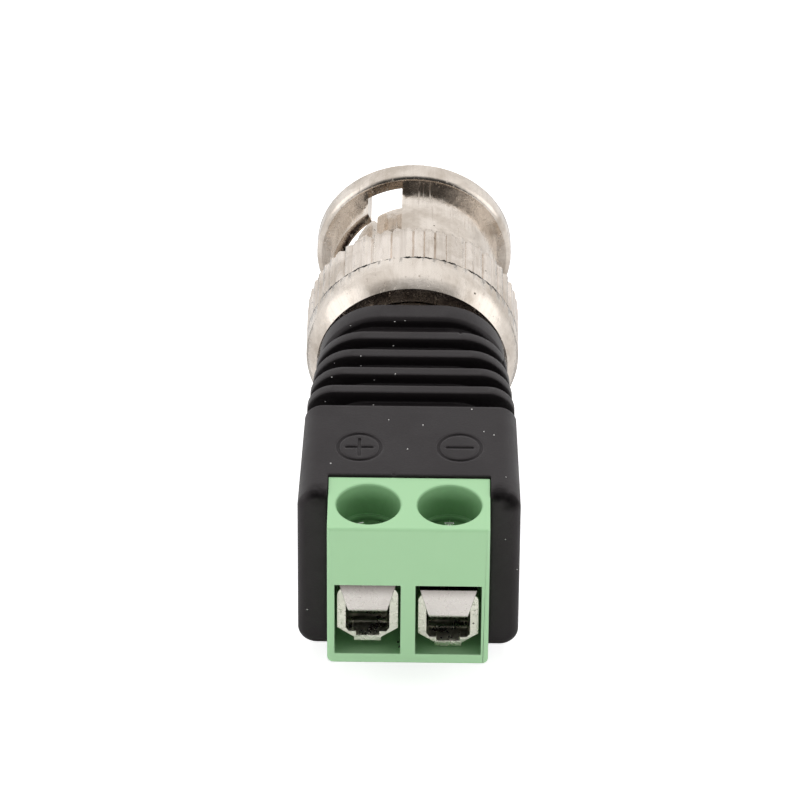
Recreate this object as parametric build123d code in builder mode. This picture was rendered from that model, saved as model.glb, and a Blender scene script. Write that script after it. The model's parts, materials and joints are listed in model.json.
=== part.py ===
from build123d import *
import math
import os

# A coaxial bayonet plug with a two-way screw terminal. Sizes are in millimetres.
# X runs across the adapter, Y from the wire side to the plug's mouth, and Z up.
# The origin is under the middle of the adapter, at the height of its lowest point.

os.makedirs("parts", exist_ok=True)

# Clearances
seat_gap = 0.03
running_gap = 0.08
slide_gap = 0.05

# Coupling nut
knurl_radius = 7.0
knurl_teeth = 60
knurl_depth = 0.26
knurl_length = 3.3
nut_length = 14.1
nut_rear_drop = 0.7
nut_taper_length = 1.2
nut_band_length = 1.4
barrel_radius = 5.6
rim_radius = 6.55
rim_length = 1.7
rim_round = 0.35
nut_bore_radius = 4.93
mouth_chamfer = 0.25
mouth_rim_chamfer = 0.3
nut_lip_length = 0.6
nut_chamber_wall = 0.8

# Bayonet slots in the nut: a straight way in, a ramp, and a round seat at its end
slot_width = 2.44
slot_depth_radius = 5.65
slot_length = 4.9
slot_angle = -21.0
ramp_width = 2.3
ramp_turn = 75.0
ramp_drop = 0.8
ramp_start_from_rim = 2.7
seat_hole_radius = 1.2
seat_hole_step = 0.3

# Plug core, behind and inside the nut
collar_gap = 1.2
collar_step = 0.9
flange_gap = 0.1
flange_thickness = 1.0
flange_from_nut_rear = 2.15
core_barrel_radius = 3.6
core_bore_radius = 2.65
core_step_radius = 3.0
core_step_length = 0.65
core_barrel_length = 7.9
grip_groove_depth = 0.3
grip_groove_width = 1.6
grip_groove_from_rear = 2.6

# Outer contact, a slit sleeve
contact_radius = 4.05
contact_inner_radius = 3.5
contact_seat_radius = 3.85
contact_seat_depth = 1.45
contact_tip_from_mouth = 1.4
contact_slit_width = 0.45
contact_slit_length = 7.2
contact_slit_angle = -41.0
contact_tip_round = 0.25

# Centre contact and its insulators
pin_radius = 0.675
pin_shank_radius = 0.9
pin_tip_from_mouth = 1.8
pin_nose_length = 0.6
pin_nose_radius = 0.28
pin_flange_radius = 1.3
pin_flange_thickness = 0.5
pin_cup_radius = 0.45
pin_cup_depth = 2.0
pin_cup_overhang = 3.2
insulator_face_from_mouth = 7.0
insulator_split_from_core_rear = 4.0
rear_insulator_length = 2.8

# Gasket, washers and spring behind the nut
gasket_thickness = 0.8
gasket_radius = 4.7
thrust_washer_thickness = 0.45
wave_washer_thickness = 0.2
wave_washer_waves = 3
washer_width = 0.7

# Moulded shell: a box, a ribbed neck and an end cap
block_proud = 3.26
shell_box_length = 9.44
shell_neck_length = 11.0
shell_width = 14.05
shell_height = 12.15
shell_front_width = 13.5
shell_front_height = 12.05
shell_corner_radius = 1.2
shell_rear_round = 0.5
shell_front_chamfer = 0.15
shell_floor = 1.2
cap_width = 12.1
cap_height = 12.0
cap_length = 1.65
cap_corner_radius = 4.2
cap_chamfer = 0.2
rib_count = 4
rib_pitch = 1.94
rib_thickness = 0.72
rib_setback = 0.29
rib_corner_radius = 1.45
rib_corner_growth = 2.2
groove_depth = 0.78
neck_corner_radius = 3.0
neck_into_cap = 0.8
cavity_wall = 2.4
cavity_radius = 4.3
cavity_front_wall = 0.8

# Terminal block
poles = 2
pitch = 5.08
block_height = 10.8
block_depth = 8.2
block_top_depth = 5.28
block_ledge_drop = 1.5
block_below_shell_top = 0.175
block_corner_round = 0.4
block_edge_chamfer = 0.14
entry_width = 4.15
entry_height = 5.5
entry_sill = 0.8
chamber_depth = 7.0
front_wall = 0.6
pocket_depth = 4.3
pocket_roof_depth = 3.65
screw_from_front = 2.6
access_radius = 2.0
access_depth = 2.35
access_chamfer = 0.12

# Clamp screws
screw_head_radius = 1.75
screw_head_height = 1.1
screw_head_depth = 2.5
screw_head_chamfer = 0.2
screw_radius = 1.25
screw_length = 2.8
screw_tip_chamfer = 0.35
screw_tip_gap = 0.03
recess_width = 0.62
recess_length = 2.7
recess_depth = 0.7
recess_turn = {"positive": 28.0, "negative": 0.0}

# Current bars, and how much lower the negative contact sits than the positive one
bar_thickness = 0.5
bar_width = 2.35
bar_recess = 0.2
bar_bend_radius = 0.4
flap_top_width = 3.62
tail_width = 1.2
tail_length = 1.7
tail_taper = 0.6
negative_drop = 0.4

# Rising cages
cage_width = 3.85
cage_wall = 0.55
cage_height = 4.32
cage_depth = 3.9
cage_roof = 1.15
cage_floor = 0.75
cage_corner_width = 0.18
cage_corner_height = 0.28
cage_keel_width = 1.7
cage_keel_step = 0.28
cage_bilge_height = 1.05
cage_top_round = 0.7
cage_roof_gap = 0.08
cage_front_gap = 0.05
lead_in_width = 1.5
lead_in_depth = 0.8
lead_in_edge = 0.42
ridge_count = 5
ridge_pitch = 0.65
ridge_from_front = 1.0
ridge_height = 0.12
ridge_base = 0.26

# Leads inside the shell
signal_wire_radius = 0.3
signal_sleeve_wall = 0.2
signal_sleeve_length = 3.0
signal_sleeve_overhang = 0.6
ground_wire_radius = 0.35
tag_thickness = 0.5
tag_tab_width = 1.2
tag_tab_length = 2.6
tag_tab_drop = 1.1
wire_overlap = 1.3
signal_bend_from_pin = 0.7
signal_bend_from_tail = 1.1
ground_bend_from_tail = 1.0

# Stations along Y
overall_length = block_proud + shell_box_length + shell_neck_length + collar_gap + nut_length
y_front = -overall_length / 2
y_shell = y_front + block_proud
y_neck = y_shell + shell_box_length
y_cap_end = y_neck + shell_neck_length
y_cap = y_cap_end - cap_length
y_nut = y_cap_end + collar_gap
y_mouth = y_nut + nut_length
y_knurl = y_nut + nut_taper_length + nut_band_length
y_knurl_end = y_knurl + knurl_length
y_rim = y_mouth - rim_length
y_flange = y_nut + flange_from_nut_rear
y_flange_front = y_flange + flange_thickness
y_core = y_cap_end - core_barrel_length
y_core_rear = y_core - core_step_length
y_contact_seat = y_flange_front - contact_seat_depth
y_contact_tip = y_mouth - contact_tip_from_mouth
y_insulator_face = y_mouth - insulator_face_from_mouth
y_insulator_split = y_core_rear + insulator_split_from_core_rear
y_block_rear = y_front + block_depth
y_cavity = y_block_rear + slide_gap
y_tail_end = y_block_rear + tail_length
y_tag = y_core - tag_thickness

# Heights along Z
axis_z = knurl_radius
shell_top_z = axis_z + shell_height / 2
block_top_z = shell_top_z - block_below_shell_top
block_bottom_z = block_top_z - block_height
entry_bottom_z = block_bottom_z + entry_sill
entry_top_z = entry_bottom_z + entry_height
screw_top_z = block_top_z - screw_head_depth
screw_tip_z = screw_top_z - screw_head_height - screw_length
bar_top_z = screw_tip_z - screw_tip_gap
bar_bottom_z = bar_top_z - bar_thickness
cage_bottom_z = bar_top_z + cage_roof_gap + cage_roof - cage_height

# Other derived sizes
block_width = poles * pitch
guide_radius = screw_head_radius + running_gap
nut_rear_radius = knurl_radius - nut_rear_drop
nut_chamber_radius = knurl_radius - nut_chamber_wall
flange_radius = nut_chamber_radius - flange_gap
collar_radius = flange_radius - collar_step
lip_bore_radius = collar_radius + running_gap
pocket_half_width = block_width / 2 + slide_gap
pole_x = {"positive": -pitch / 2, "negative": pitch / 2}
drop = {"positive": 0.0, "negative": negative_drop}
y_screw = y_front + screw_from_front
y_cage = y_front + bar_recess + bar_thickness + cage_front_gap
beyond = 1.0
# Where the middle of a quarter round lies between its two ends
round_share = 1 - math.sqrt(0.5)

plug_axis = Axis((0, 0, axis_z), (0, 1, 0))
# Outlines of turned pieces are drawn here as (station, radius).
along = Plane(origin=(0, 0, axis_z), x_dir=(0, 1, 0), z_dir=(1, 0, 0))


def across(y):
    """A plane across the plug's axis at station y, centred on the axis and facing the wire side."""
    return Plane(origin=(0, y, axis_z), x_dir=(1, 0, 0), z_dir=(0, -1, 0))


def side(x):
    """A plane along the adapter at x, where outlines are drawn as (y, z)."""
    return Plane(origin=(x, 0, 0), x_dir=(0, 1, 0), z_dir=(1, 0, 0))


def block_across(y, x=0.0):
    """A plane across the terminal block at station y, where outlines are drawn as (x, z)."""
    return Plane(origin=(x, y, 0), x_dir=(1, 0, 0), z_dir=(0, -1, 0))


# Moulded shell


def neck_share(y):
    """How far along the neck a station lies, from 0 at the box to 1 at the cap."""
    return (y - y_neck) / (y_cap - y_neck)


def neck_size(y):
    """Width, height and corner radius of a rib's outline at a station of the neck."""
    share = neck_share(y)
    width = shell_front_width + (cap_width - shell_front_width) * share
    height = shell_front_height + (cap_height - shell_front_height) * share
    return width, height, rib_corner_radius + rib_corner_growth * share


def make_tapered_box(stations, widths, heights, corner_radius):
    """A box along the axis whose width and height change evenly, with its long edges rounded."""
    (rear, front), (rear_width, front_width), (rear_height, front_height) = stations, widths, heights
    with BuildPart() as box:
        with BuildSketch(Plane.XY.offset(axis_z)):
            with BuildLine():
                Polyline(
                    (-rear_width / 2, rear),
                    (rear_width / 2, rear),
                    (front_width / 2, front),
                    (-front_width / 2, front),
                    close=True,
                )
            make_face()
        extrude(amount=rear_height, both=True)
        with BuildSketch(side(0)):
            with BuildLine():
                Polyline(
                    (rear, axis_z - rear_height / 2),
                    (front, axis_z - front_height / 2),
                    (front, axis_z + front_height / 2),
                    (rear, axis_z + rear_height / 2),
                    close=True,
                )
            make_face()
        extrude(amount=rear_width, both=True, mode=Mode.INTERSECT)
        ends = box.faces().sort_by(Axis.Y)
        fillet(box.edges() - ends[0].edges() - ends[-1].edges(), corner_radius)
    return box.part


with BuildPart() as shell_box:
    add(
        make_tapered_box(
            (y_shell, y_neck),
            (shell_width, shell_front_width),
            (shell_height, shell_front_height),
            shell_corner_radius,
        )
    )
    fillet(shell_box.faces().sort_by(Axis.Y)[0].edges(), shell_rear_round)
    chamfer(shell_box.faces().sort_by(Axis.Y)[-1].edges(), shell_front_chamfer)

with BuildPart() as end_cap:
    with BuildSketch(across(y_cap)):
        RectangleRounded(cap_width, cap_height, cap_corner_radius)
    extrude(amount=-cap_length)
    cap_ends = end_cap.faces().sort_by(Axis.Y)
    chamfer(cap_ends[0].edges() + cap_ends[-1].edges(), cap_chamfer)

rib_stations = [y_cap - rib_setback - rib_pitch * (number + 1) for number in range(rib_count)]

with BuildPart() as body_shell:
    add(shell_box.part)
    # The neck inside the grooves
    inset = 2 * groove_depth
    add(
        make_tapered_box(
            (y_neck - beyond, y_cap + neck_into_cap),
            (shell_front_width - inset, cap_width - inset),
            (shell_front_height - inset, cap_height - inset),
            neck_corner_radius,
        )
    )
    for rib_y in rib_stations:
        with BuildSketch(across(rib_y)):
            RectangleRounded(*neck_size(rib_y))
        extrude(amount=-rib_thickness)
    add(end_cap.part)
    # The pocket for the terminal block, open at the wire side and notched in the roof
    with BuildSketch(block_across(y_shell - beyond)):
        with Locations((0, (block_bottom_z - slide_gap + shell_top_z + beyond) / 2)):
            Rectangle(2 * pocket_half_width, shell_top_z + beyond - block_bottom_z + slide_gap)
    extrude(amount=-(y_front + block_top_depth + slide_gap - y_shell + beyond), mode=Mode.SUBTRACT)
    ledge_z = block_top_z - block_ledge_drop
    with BuildSketch(block_across(y_shell)):
        with Locations((0, (block_bottom_z + ledge_z) / 2)):
            Rectangle(2 * pocket_half_width, ledge_z - block_bottom_z + 2 * slide_gap)
    extrude(amount=-(y_block_rear + slide_gap - y_shell), mode=Mode.SUBTRACT)
    # The space for the leads, and the bore that grips the plug core
    with BuildSketch(across(y_block_rear)):
        Rectangle(shell_front_width - 2 * cavity_wall, shell_front_height - 2 * cavity_wall)
    extrude(amount=-(y_neck - cavity_front_wall - y_block_rear), mode=Mode.SUBTRACT)
    with BuildSketch(across(y_block_rear)):
        Circle(cavity_radius)
    extrude(amount=-(y_core - y_block_rear), mode=Mode.SUBTRACT)
    with BuildSketch(across(y_core)):
        Circle(core_barrel_radius + seat_gap)
    extrude(amount=-(core_barrel_length + beyond), mode=Mode.SUBTRACT)

# Terminal block

with BuildPart() as terminal_housing:
    with BuildSketch(side(-block_width / 2)):
        with BuildLine():
            Polyline(
                (y_front, block_bottom_z),
                (y_block_rear, block_bottom_z),
                (y_block_rear, ledge_z),
                (y_front + block_top_depth, ledge_z),
                (y_front + block_top_depth, block_top_z),
                (y_front, block_top_z),
                close=True,
            )
        make_face()
    extrude(amount=block_width)
    bottom_edges = terminal_housing.edges().filter_by(Axis.Y).group_by(Axis.Z)[0]
    fillet(bottom_edges, block_corner_round)
    chamfer(terminal_housing.faces().sort_by(Axis.Y)[0].edges(), block_edge_chamfer)
    for pole, x in pole_x.items():
        # The wire's way in, with the cage's pocket above it
        with BuildSketch(block_across(y_front - beyond, x)):
            with Locations((0, (entry_bottom_z + entry_top_z) / 2)):
                Rectangle(entry_width, entry_height)
        extrude(amount=-(chamber_depth + beyond), mode=Mode.SUBTRACT)
        pocket_roof_z = block_top_z - pocket_roof_depth
        with BuildSketch(block_across(y_front + front_wall, x)):
            with Locations((0, (entry_bottom_z + pocket_roof_z) / 2)):
                Rectangle(entry_width, pocket_roof_z - entry_bottom_z)
        extrude(amount=-pocket_depth, mode=Mode.SUBTRACT)
        # The screw's guide and the wider way in for the screwdriver
        with Locations((x, y_screw, block_top_z)):
            Hole(guide_radius, pocket_roof_depth + slide_gap)
            Hole(access_radius, access_depth)
        # The slot that the bar's tail leaves by
        tail_z = bar_bottom_z - drop[pole] + bar_thickness / 2
        with BuildSketch(block_across(y_front + chamber_depth - slide_gap, x)):
            with Locations((0, tail_z)):
                Rectangle(tail_width + 2 * slide_gap, bar_thickness + 2 * slide_gap)
        extrude(amount=-(block_depth - chamber_depth + beyond), mode=Mode.SUBTRACT)
    access_rims = (
        terminal_housing.edges()
        .filter_by(GeomType.CIRCLE)
        .filter_by(lambda rim: abs(rim.radius - access_radius) < seat_gap)
        .group_by(Axis.Z)[-1]
    )
    chamfer(access_rims, access_chamfer)

# Contacts of the two poles

for pole, x in pole_x.items():
    bar_base_z = bar_bottom_z - drop[pole]
    bar_y = y_front + bar_recess
    shoulder_y = y_front + chamber_depth - seat_gap

    with BuildPart() as current_bar:
        # The blade runs through the cage and narrows to a tail behind the block
        with BuildSketch(Plane.XY.offset(bar_base_z)):
            with BuildLine():
                Polyline(
                    (x - bar_width / 2, bar_y),
                    (x + bar_width / 2, bar_y),
                    (x + bar_width / 2, shoulder_y - tail_taper),
                    (x + tail_width / 2, shoulder_y),
                    (x + tail_width / 2, y_tail_end),
                    (x - tail_width / 2, y_tail_end),
                    (x - tail_width / 2, shoulder_y),
                    (x - bar_width / 2, shoulder_y - tail_taper),
                    close=True,
                )
            make_face()
        extrude(amount=bar_thickness)
        # The flap is folded up in front of the cage and widens to hold it in
        flap_top_z = entry_top_z - slide_gap - drop[pole]
        with BuildSketch(block_across(bar_y, x)):
            with BuildLine():
                Polyline(
                    (-bar_width / 2, bar_base_z),
                    (bar_width / 2, bar_base_z),
                    (flap_top_width / 2, flap_top_z),
                    (-flap_top_width / 2, flap_top_z),
                    close=True,
                )
            make_face()
        extrude(amount=-bar_thickness)
        bend = current_bar.edges().filter_by(Axis.X).group_by(Axis.Z)[0].sort_by(Axis.Y)[0]
        fillet(bend, bar_bend_radius)
    current_bar.part.label = f"current_bar_{pole}"
    export_step(current_bar.part, f"parts/current_bar_{pole}.step")

    base_z = cage_bottom_z - drop[pole]
    with BuildPart() as clamp_cage:
        with BuildSketch(block_across(y_cage, x)):
            with BuildLine():
                Polyline(
                    (-cage_keel_width / 2, base_z),
                    (cage_keel_width / 2, base_z),
                    (cage_keel_width / 2, base_z + cage_keel_step),
                    (cage_width / 2, base_z + cage_bilge_height),
                    (cage_width / 2, base_z + cage_height),
                    (-cage_width / 2, base_z + cage_height),
                    (-cage_width / 2, base_z + cage_bilge_height),
                    (-cage_keel_width / 2, base_z + cage_keel_step),
                    close=True,
                )
            outline = make_face()
            fillet(outline.vertices().group_by(Axis.Y)[-1], cage_top_round)
            inner_half = cage_width / 2 - cage_wall
            floor_half = inner_half - cage_corner_width
            with BuildLine():
                Polyline(
                    (-floor_half, base_z + cage_floor),
                    (floor_half, base_z + cage_floor),
                    (inner_half, base_z + cage_floor + cage_corner_height),
                    (inner_half, base_z + cage_height - cage_roof),
                    (-inner_half, base_z + cage_height - cage_roof),
                    (-inner_half, base_z + cage_floor + cage_corner_height),
                    close=True,
                )
            make_face(mode=Mode.SUBTRACT)
        extrude(amount=-cage_depth)
        # The threaded hole for the screw
        with Locations((x, y_screw, base_z + cage_height)):
            Hole(screw_radius + slide_gap, cage_roof + slide_gap)
        # A coined lead-in at the front edge of the floor
        with BuildSketch(side(x - lead_in_width / 2)):
            with BuildLine():
                Polyline(
                    (y_cage - beyond, base_z + lead_in_edge),
                    (y_cage, base_z + lead_in_edge),
                    (y_cage + lead_in_depth, base_z + cage_floor),
                    (y_cage + lead_in_depth, base_z + cage_floor + seat_gap),
                    (y_cage - beyond, base_z + cage_floor + seat_gap),
                    close=True,
                )
            make_face()
        extrude(amount=lead_in_width, mode=Mode.SUBTRACT)
        # Grip ridges across the floor
        for number in range(ridge_count):
            ridge_y = y_cage + ridge_from_front + number * ridge_pitch
            with BuildSketch(side(x - floor_half)):
                with BuildLine():
                    Polyline(
                        (ridge_y - ridge_base / 2, base_z + cage_floor),
                        (ridge_y + ridge_base / 2, base_z + cage_floor),
                        (ridge_y, base_z + cage_floor + ridge_height),
                        close=True,
                    )
                make_face()
            extrude(amount=2 * floor_half)
    clamp_cage.part.label = f"clamp_cage_{pole}"
    export_step(clamp_cage.part, f"parts/clamp_cage_{pole}.step")

    with BuildPart() as clamp_screw:
        with BuildSketch(Plane.XY.offset(screw_top_z)):
            with Locations((x, y_screw)):
                Circle(screw_head_radius)
        extrude(amount=-screw_head_height)
        chamfer(clamp_screw.edges().group_by(Axis.Z)[-1], screw_head_chamfer)
        with BuildSketch(Plane.XY.offset(screw_top_z - screw_head_height)):
            with Locations((x, y_screw)):
                Circle(screw_radius)
        extrude(amount=-screw_length)
        chamfer(clamp_screw.edges().group_by(Axis.Z)[0], screw_tip_chamfer)
        with BuildSketch(Plane.XY.offset(screw_top_z)):
            with Locations((x, y_screw)):
                Rectangle(recess_length, recess_width, rotation=recess_turn[pole])
                Rectangle(recess_width, recess_length, rotation=recess_turn[pole])
        extrude(amount=-recess_depth, mode=Mode.SUBTRACT)
    clamp_screw.part.label = f"clamp_screw_{pole}"
    export_step(clamp_screw.part, f"parts/clamp_screw_{pole}.step")

# Coupling nut

y_ramp = y_rim - ramp_start_from_rim
wall_middle = (nut_bore_radius + barrel_radius) / 2
wall_reach = 3 * (barrel_radius - nut_bore_radius)

# One ramp, starting under the axis and later turned into its place
with BuildPart() as ramp_cut:
    with BuildLine():
        ramp_path = Helix(
            ramp_drop * 360 / ramp_turn,
            ramp_drop,
            wall_middle,
            center=(0, y_ramp, axis_z),
            direction=(0, -1, 0),
        )
    with BuildSketch(Plane(ramp_path @ 0, x_dir=(0, 0, -1), z_dir=ramp_path % 0)):
        Rectangle(wall_reach, ramp_width)
    sweep(path=ramp_path, is_frenet=True)
    # The round seat at the ramp's end
    turned = math.radians(ramp_turn)
    outward = (math.sin(turned), 0, -math.cos(turned))
    y_seat = y_ramp - ramp_drop + seat_hole_step
    with BuildSketch(Plane(origin=(0, y_seat, axis_z), z_dir=outward).offset(wall_middle)):
        Circle(seat_hole_radius)
    extrude(amount=wall_reach / 2, both=True)

rim_ease = rim_round * round_share

with BuildPart() as coupling_nut:
    with BuildSketch(along):
        with BuildLine():
            Polyline(
                (y_nut, nut_rear_radius),
                (y_nut + nut_taper_length, knurl_radius),
                (y_knurl_end, knurl_radius),
                (y_knurl_end, barrel_radius),
                (y_rim, barrel_radius),
                (y_rim, rim_radius - rim_round),
                (y_rim + rim_ease, rim_radius - rim_ease),
                (y_rim + rim_round, rim_radius),
                (y_mouth - mouth_rim_chamfer, rim_radius),
                (y_mouth, rim_radius - mouth_rim_chamfer),
                (y_mouth, nut_bore_radius + mouth_chamfer),
                (y_mouth - mouth_chamfer, nut_bore_radius),
                (y_flange_front + slide_gap, nut_bore_radius),
                (y_flange_front + slide_gap, nut_chamber_radius),
                (y_nut + nut_lip_length, nut_chamber_radius),
                (y_nut + nut_lip_length, lip_bore_radius),
                (y_nut, lip_bore_radius),
                close=True,
            )
        make_face()
    revolve(axis=plug_axis)
    # Straight knurl of square-cornered grooves
    with BuildSketch(across(y_knurl)):
        with PolarLocations(knurl_radius + seat_gap, knurl_teeth):
            RegularPolygon(knurl_depth + seat_gap, 4)
    extrude(amount=-(knurl_length + seat_gap), mode=Mode.SUBTRACT)
    # Way in for the two studs, closed outside by the rim
    with BuildSketch(across(y_rim - slot_length)):
        Circle(slot_depth_radius)
        Rectangle(slot_width, 4 * slot_depth_radius, rotation=-slot_angle, mode=Mode.INTERSECT)
    extrude(amount=-(slot_length + rim_length + beyond), mode=Mode.SUBTRACT)
    for half_turn in (0, 180):
        add(ramp_cut.part.rotate(plug_axis, slot_angle + half_turn), mode=Mode.SUBTRACT)

# Turned, moulded and sprung pieces of the plug

with BuildPart() as plug_core:
    with BuildSketch(along):
        with BuildLine():
            Polyline(
                (y_core_rear, core_bore_radius),
                (y_core_rear, core_step_radius),
                (y_core, core_step_radius),
                (y_core, core_barrel_radius),
                (y_cap_end, core_barrel_radius),
                (y_cap_end, collar_radius),
                (y_flange, collar_radius),
                (y_flange, flange_radius),
                (y_flange_front, flange_radius),
                (y_flange_front, contact_seat_radius + seat_gap),
                (y_contact_seat, contact_seat_radius + seat_gap),
                (y_contact_seat, core_bore_radius),
                close=True,
            )
        make_face()
        # The groove that the moulding grips
        with Locations((y_core + grip_groove_from_rear, core_barrel_radius)):
            Rectangle(grip_groove_width, 2 * grip_groove_depth, mode=Mode.SUBTRACT)
    revolve(axis=plug_axis)

with BuildPart() as outer_contact:
    with BuildSketch(along):
        with BuildLine():
            Polyline(
                (y_contact_seat, contact_inner_radius),
                (y_contact_seat, contact_seat_radius),
                (y_flange_front + gasket_thickness, contact_seat_radius),
                (y_flange_front + gasket_thickness, contact_radius),
                (y_contact_tip - contact_tip_round, contact_radius),
                (y_contact_tip, contact_radius - contact_tip_round),
                (y_contact_tip, contact_inner_radius),
                close=True,
            )
        make_face()
    revolve(axis=plug_axis)
    with BuildSketch(across(y_contact_tip - contact_slit_length)):
        Rectangle(contact_slit_width, 4 * contact_radius, rotation=-contact_slit_angle)
        Rectangle(4 * contact_radius, contact_slit_width, rotation=-contact_slit_angle)
    extrude(amount=-(contact_slit_length + beyond), mode=Mode.SUBTRACT)

pin_bore_radius = pin_shank_radius + seat_gap
spigot_radius = core_bore_radius - seat_gap
y_pin_flange = y_insulator_split - pin_flange_thickness
y_pin_rear = y_insulator_split - rear_insulator_length - pin_cup_overhang
y_pin_tip = y_mouth - pin_tip_from_mouth

with BuildPart() as front_insulator:
    with BuildSketch(along):
        with BuildLine():
            Polyline(
                (y_insulator_split, pin_bore_radius),
                (y_insulator_split, spigot_radius),
                (y_contact_seat, spigot_radius),
                (y_contact_seat, contact_inner_radius - seat_gap),
                (y_insulator_face, contact_inner_radius - seat_gap),
                (y_insulator_face, pin_bore_radius),
                close=True,
            )
        make_face()
    revolve(axis=plug_axis)

with BuildPart() as rear_insulator:
    with BuildSketch(along):
        with BuildLine():
            Polyline(
                (y_insulator_split - rear_insulator_length, pin_bore_radius),
                (y_insulator_split - rear_insulator_length, spigot_radius),
                (y_insulator_split, spigot_radius),
                (y_insulator_split, pin_flange_radius + seat_gap),
                (y_pin_flange - seat_gap, pin_flange_radius + seat_gap),
                (y_pin_flange - seat_gap, pin_bore_radius),
                close=True,
            )
        make_face()
    revolve(axis=plug_axis)

with BuildPart() as centre_pin:
    with BuildSketch(along):
        with BuildLine():
            Polyline(
                (y_pin_tip, 0),
                (y_pin_rear + pin_cup_depth, 0),
                (y_pin_rear + pin_cup_depth, pin_cup_radius),
                (y_pin_rear, pin_cup_radius),
                (y_pin_rear, pin_shank_radius),
                (y_pin_flange, pin_shank_radius),
                (y_pin_flange, pin_flange_radius),
                (y_insulator_split, pin_flange_radius),
                (y_insulator_split, pin_shank_radius),
                (y_insulator_face, pin_shank_radius),
                (y_insulator_face, pin_radius),
                (y_pin_tip - pin_nose_length, pin_radius),
                (y_pin_tip, pin_nose_radius),
                close=True,
            )
        make_face()
    revolve(axis=plug_axis)

with BuildPart() as gasket:
    with BuildSketch(across(y_flange_front)):
        Circle(gasket_radius)
        Circle(contact_seat_radius + seat_gap, mode=Mode.SUBTRACT)
    extrude(amount=-(gasket_thickness - seat_gap))

washer_inner_radius = lip_bore_radius + seat_gap
washer_outer_radius = washer_inner_radius + washer_width
y_thrust_washer = y_nut + nut_lip_length + slide_gap

with BuildPart() as thrust_washer:
    with BuildSketch(across(y_thrust_washer)):
        Circle(washer_outer_radius)
        Circle(washer_inner_radius, mode=Mode.SUBTRACT)
    extrude(amount=-thrust_washer_thickness)

y_wave_rear = y_thrust_washer + thrust_washer_thickness + seat_gap + wave_washer_thickness / 2
y_wave_front = y_flange - seat_gap - wave_washer_thickness / 2
wave_radius = (washer_inner_radius + washer_outer_radius) / 2
wave_swing = (y_wave_front - y_wave_rear) / 2
wave_sections = 4 * wave_washer_waves

with BuildPart() as wave_washer:
    for half in range(2):
        for number in range(wave_sections + 1):
            turn = math.pi * (half + number / wave_sections)
            wave_y = (y_wave_rear + y_wave_front) / 2
            wave_y += wave_swing * math.cos(wave_washer_waves * turn)
            place = (wave_radius * math.cos(turn), wave_y, axis_z + wave_radius * math.sin(turn))
            radial = (math.cos(turn), 0, math.sin(turn))
            onward = (-math.sin(turn), 0, math.cos(turn))
            with BuildSketch(Plane(place, x_dir=radial, z_dir=onward)):
                Rectangle(washer_width, wave_washer_thickness)
        loft()

# Solder tag and leads

with BuildPart() as ground_tag:
    with BuildSketch(across(y_tag)):
        Circle(core_barrel_radius)
        Circle(core_step_radius + seat_gap, mode=Mode.SUBTRACT)
    extrude(amount=-tag_thickness)
    tab_x = (core_barrel_radius + core_step_radius) / 2
    with BuildSketch(across(y_core - tag_tab_length)):
        with Locations((tab_x, -tag_tab_drop)):
            Rectangle(tag_thickness, tag_tab_width)
    extrude(amount=-tag_tab_length)


def make_lead(route, radius):
    """A stiff round lead, bent sharply between straight runs."""
    with BuildPart() as lead:
        with BuildLine() as path:
            Polyline(*route)
        with BuildSketch(Plane(path.line @ 0, z_dir=path.line % 0)):
            Circle(radius)
        sweep(path=path.line, transition=Transition.RIGHT)
    return lead.part


wire_start_y = y_tail_end - wire_overlap
signal_z = bar_top_z + signal_wire_radius + seat_gap
signal_x = pole_x["positive"]
signal_cup_y = y_pin_rear + pin_cup_depth - seat_gap
signal_bend_y = y_pin_rear - signal_bend_from_pin
signal_turn_y = y_tail_end + signal_bend_from_tail
signal_lead = make_lead(
    [
        (0, signal_cup_y, axis_z),
        (0, signal_bend_y, axis_z),
        (signal_x, signal_turn_y, signal_z),
        (signal_x, wire_start_y, signal_z),
    ],
    signal_wire_radius,
)

# The shrunk sleeve over the pin's cup and the solder in it
sleeve_bore_radius = pin_shank_radius + seat_gap

with BuildPart() as signal_lead_sleeve:
    with BuildSketch(across(y_pin_rear - signal_sleeve_overhang)):
        Circle(sleeve_bore_radius + signal_sleeve_wall)
        Circle(sleeve_bore_radius, mode=Mode.SUBTRACT)
    extrude(amount=-signal_sleeve_length)

ground_z = bar_top_z - negative_drop + ground_wire_radius + seat_gap
ground_x = tab_x - tag_thickness / 2 - ground_wire_radius - seat_gap
ground_lead = make_lead(
    [
        (ground_x, y_core_rear - seat_gap, axis_z - tag_tab_drop),
        (ground_x, y_core - tag_tab_length, axis_z - tag_tab_drop),
        (pole_x["negative"], y_tail_end + ground_bend_from_tail, ground_z),
        (pole_x["negative"], wire_start_y, ground_z),
    ],
    ground_wire_radius,
)

body_shell.part.label = "body_shell"
export_step(body_shell.part, "parts/body_shell.step")
terminal_housing.part.label = "terminal_housing"
export_step(terminal_housing.part, "parts/terminal_housing.step")
coupling_nut.part.label = "coupling_nut"
export_step(coupling_nut.part, "parts/coupling_nut.step")
plug_core.part.label = "plug_core"
export_step(plug_core.part, "parts/plug_core.step")
outer_contact.part.label = "outer_contact"
export_step(outer_contact.part, "parts/outer_contact.step")
front_insulator.part.label = "front_insulator"
export_step(front_insulator.part, "parts/front_insulator.step")
rear_insulator.part.label = "rear_insulator"
export_step(rear_insulator.part, "parts/rear_insulator.step")
centre_pin.part.label = "centre_pin"
export_step(centre_pin.part, "parts/centre_pin.step")
gasket.part.label = "gasket"
export_step(gasket.part, "parts/gasket.step")
thrust_washer.part.label = "thrust_washer"
export_step(thrust_washer.part, "parts/thrust_washer.step")
wave_washer.part.label = "wave_washer"
export_step(wave_washer.part, "parts/wave_washer.step")
ground_tag.part.label = "ground_tag"
export_step(ground_tag.part, "parts/ground_tag.step")
signal_lead.label = "signal_lead"
export_step(signal_lead, "parts/signal_lead.step")
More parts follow.
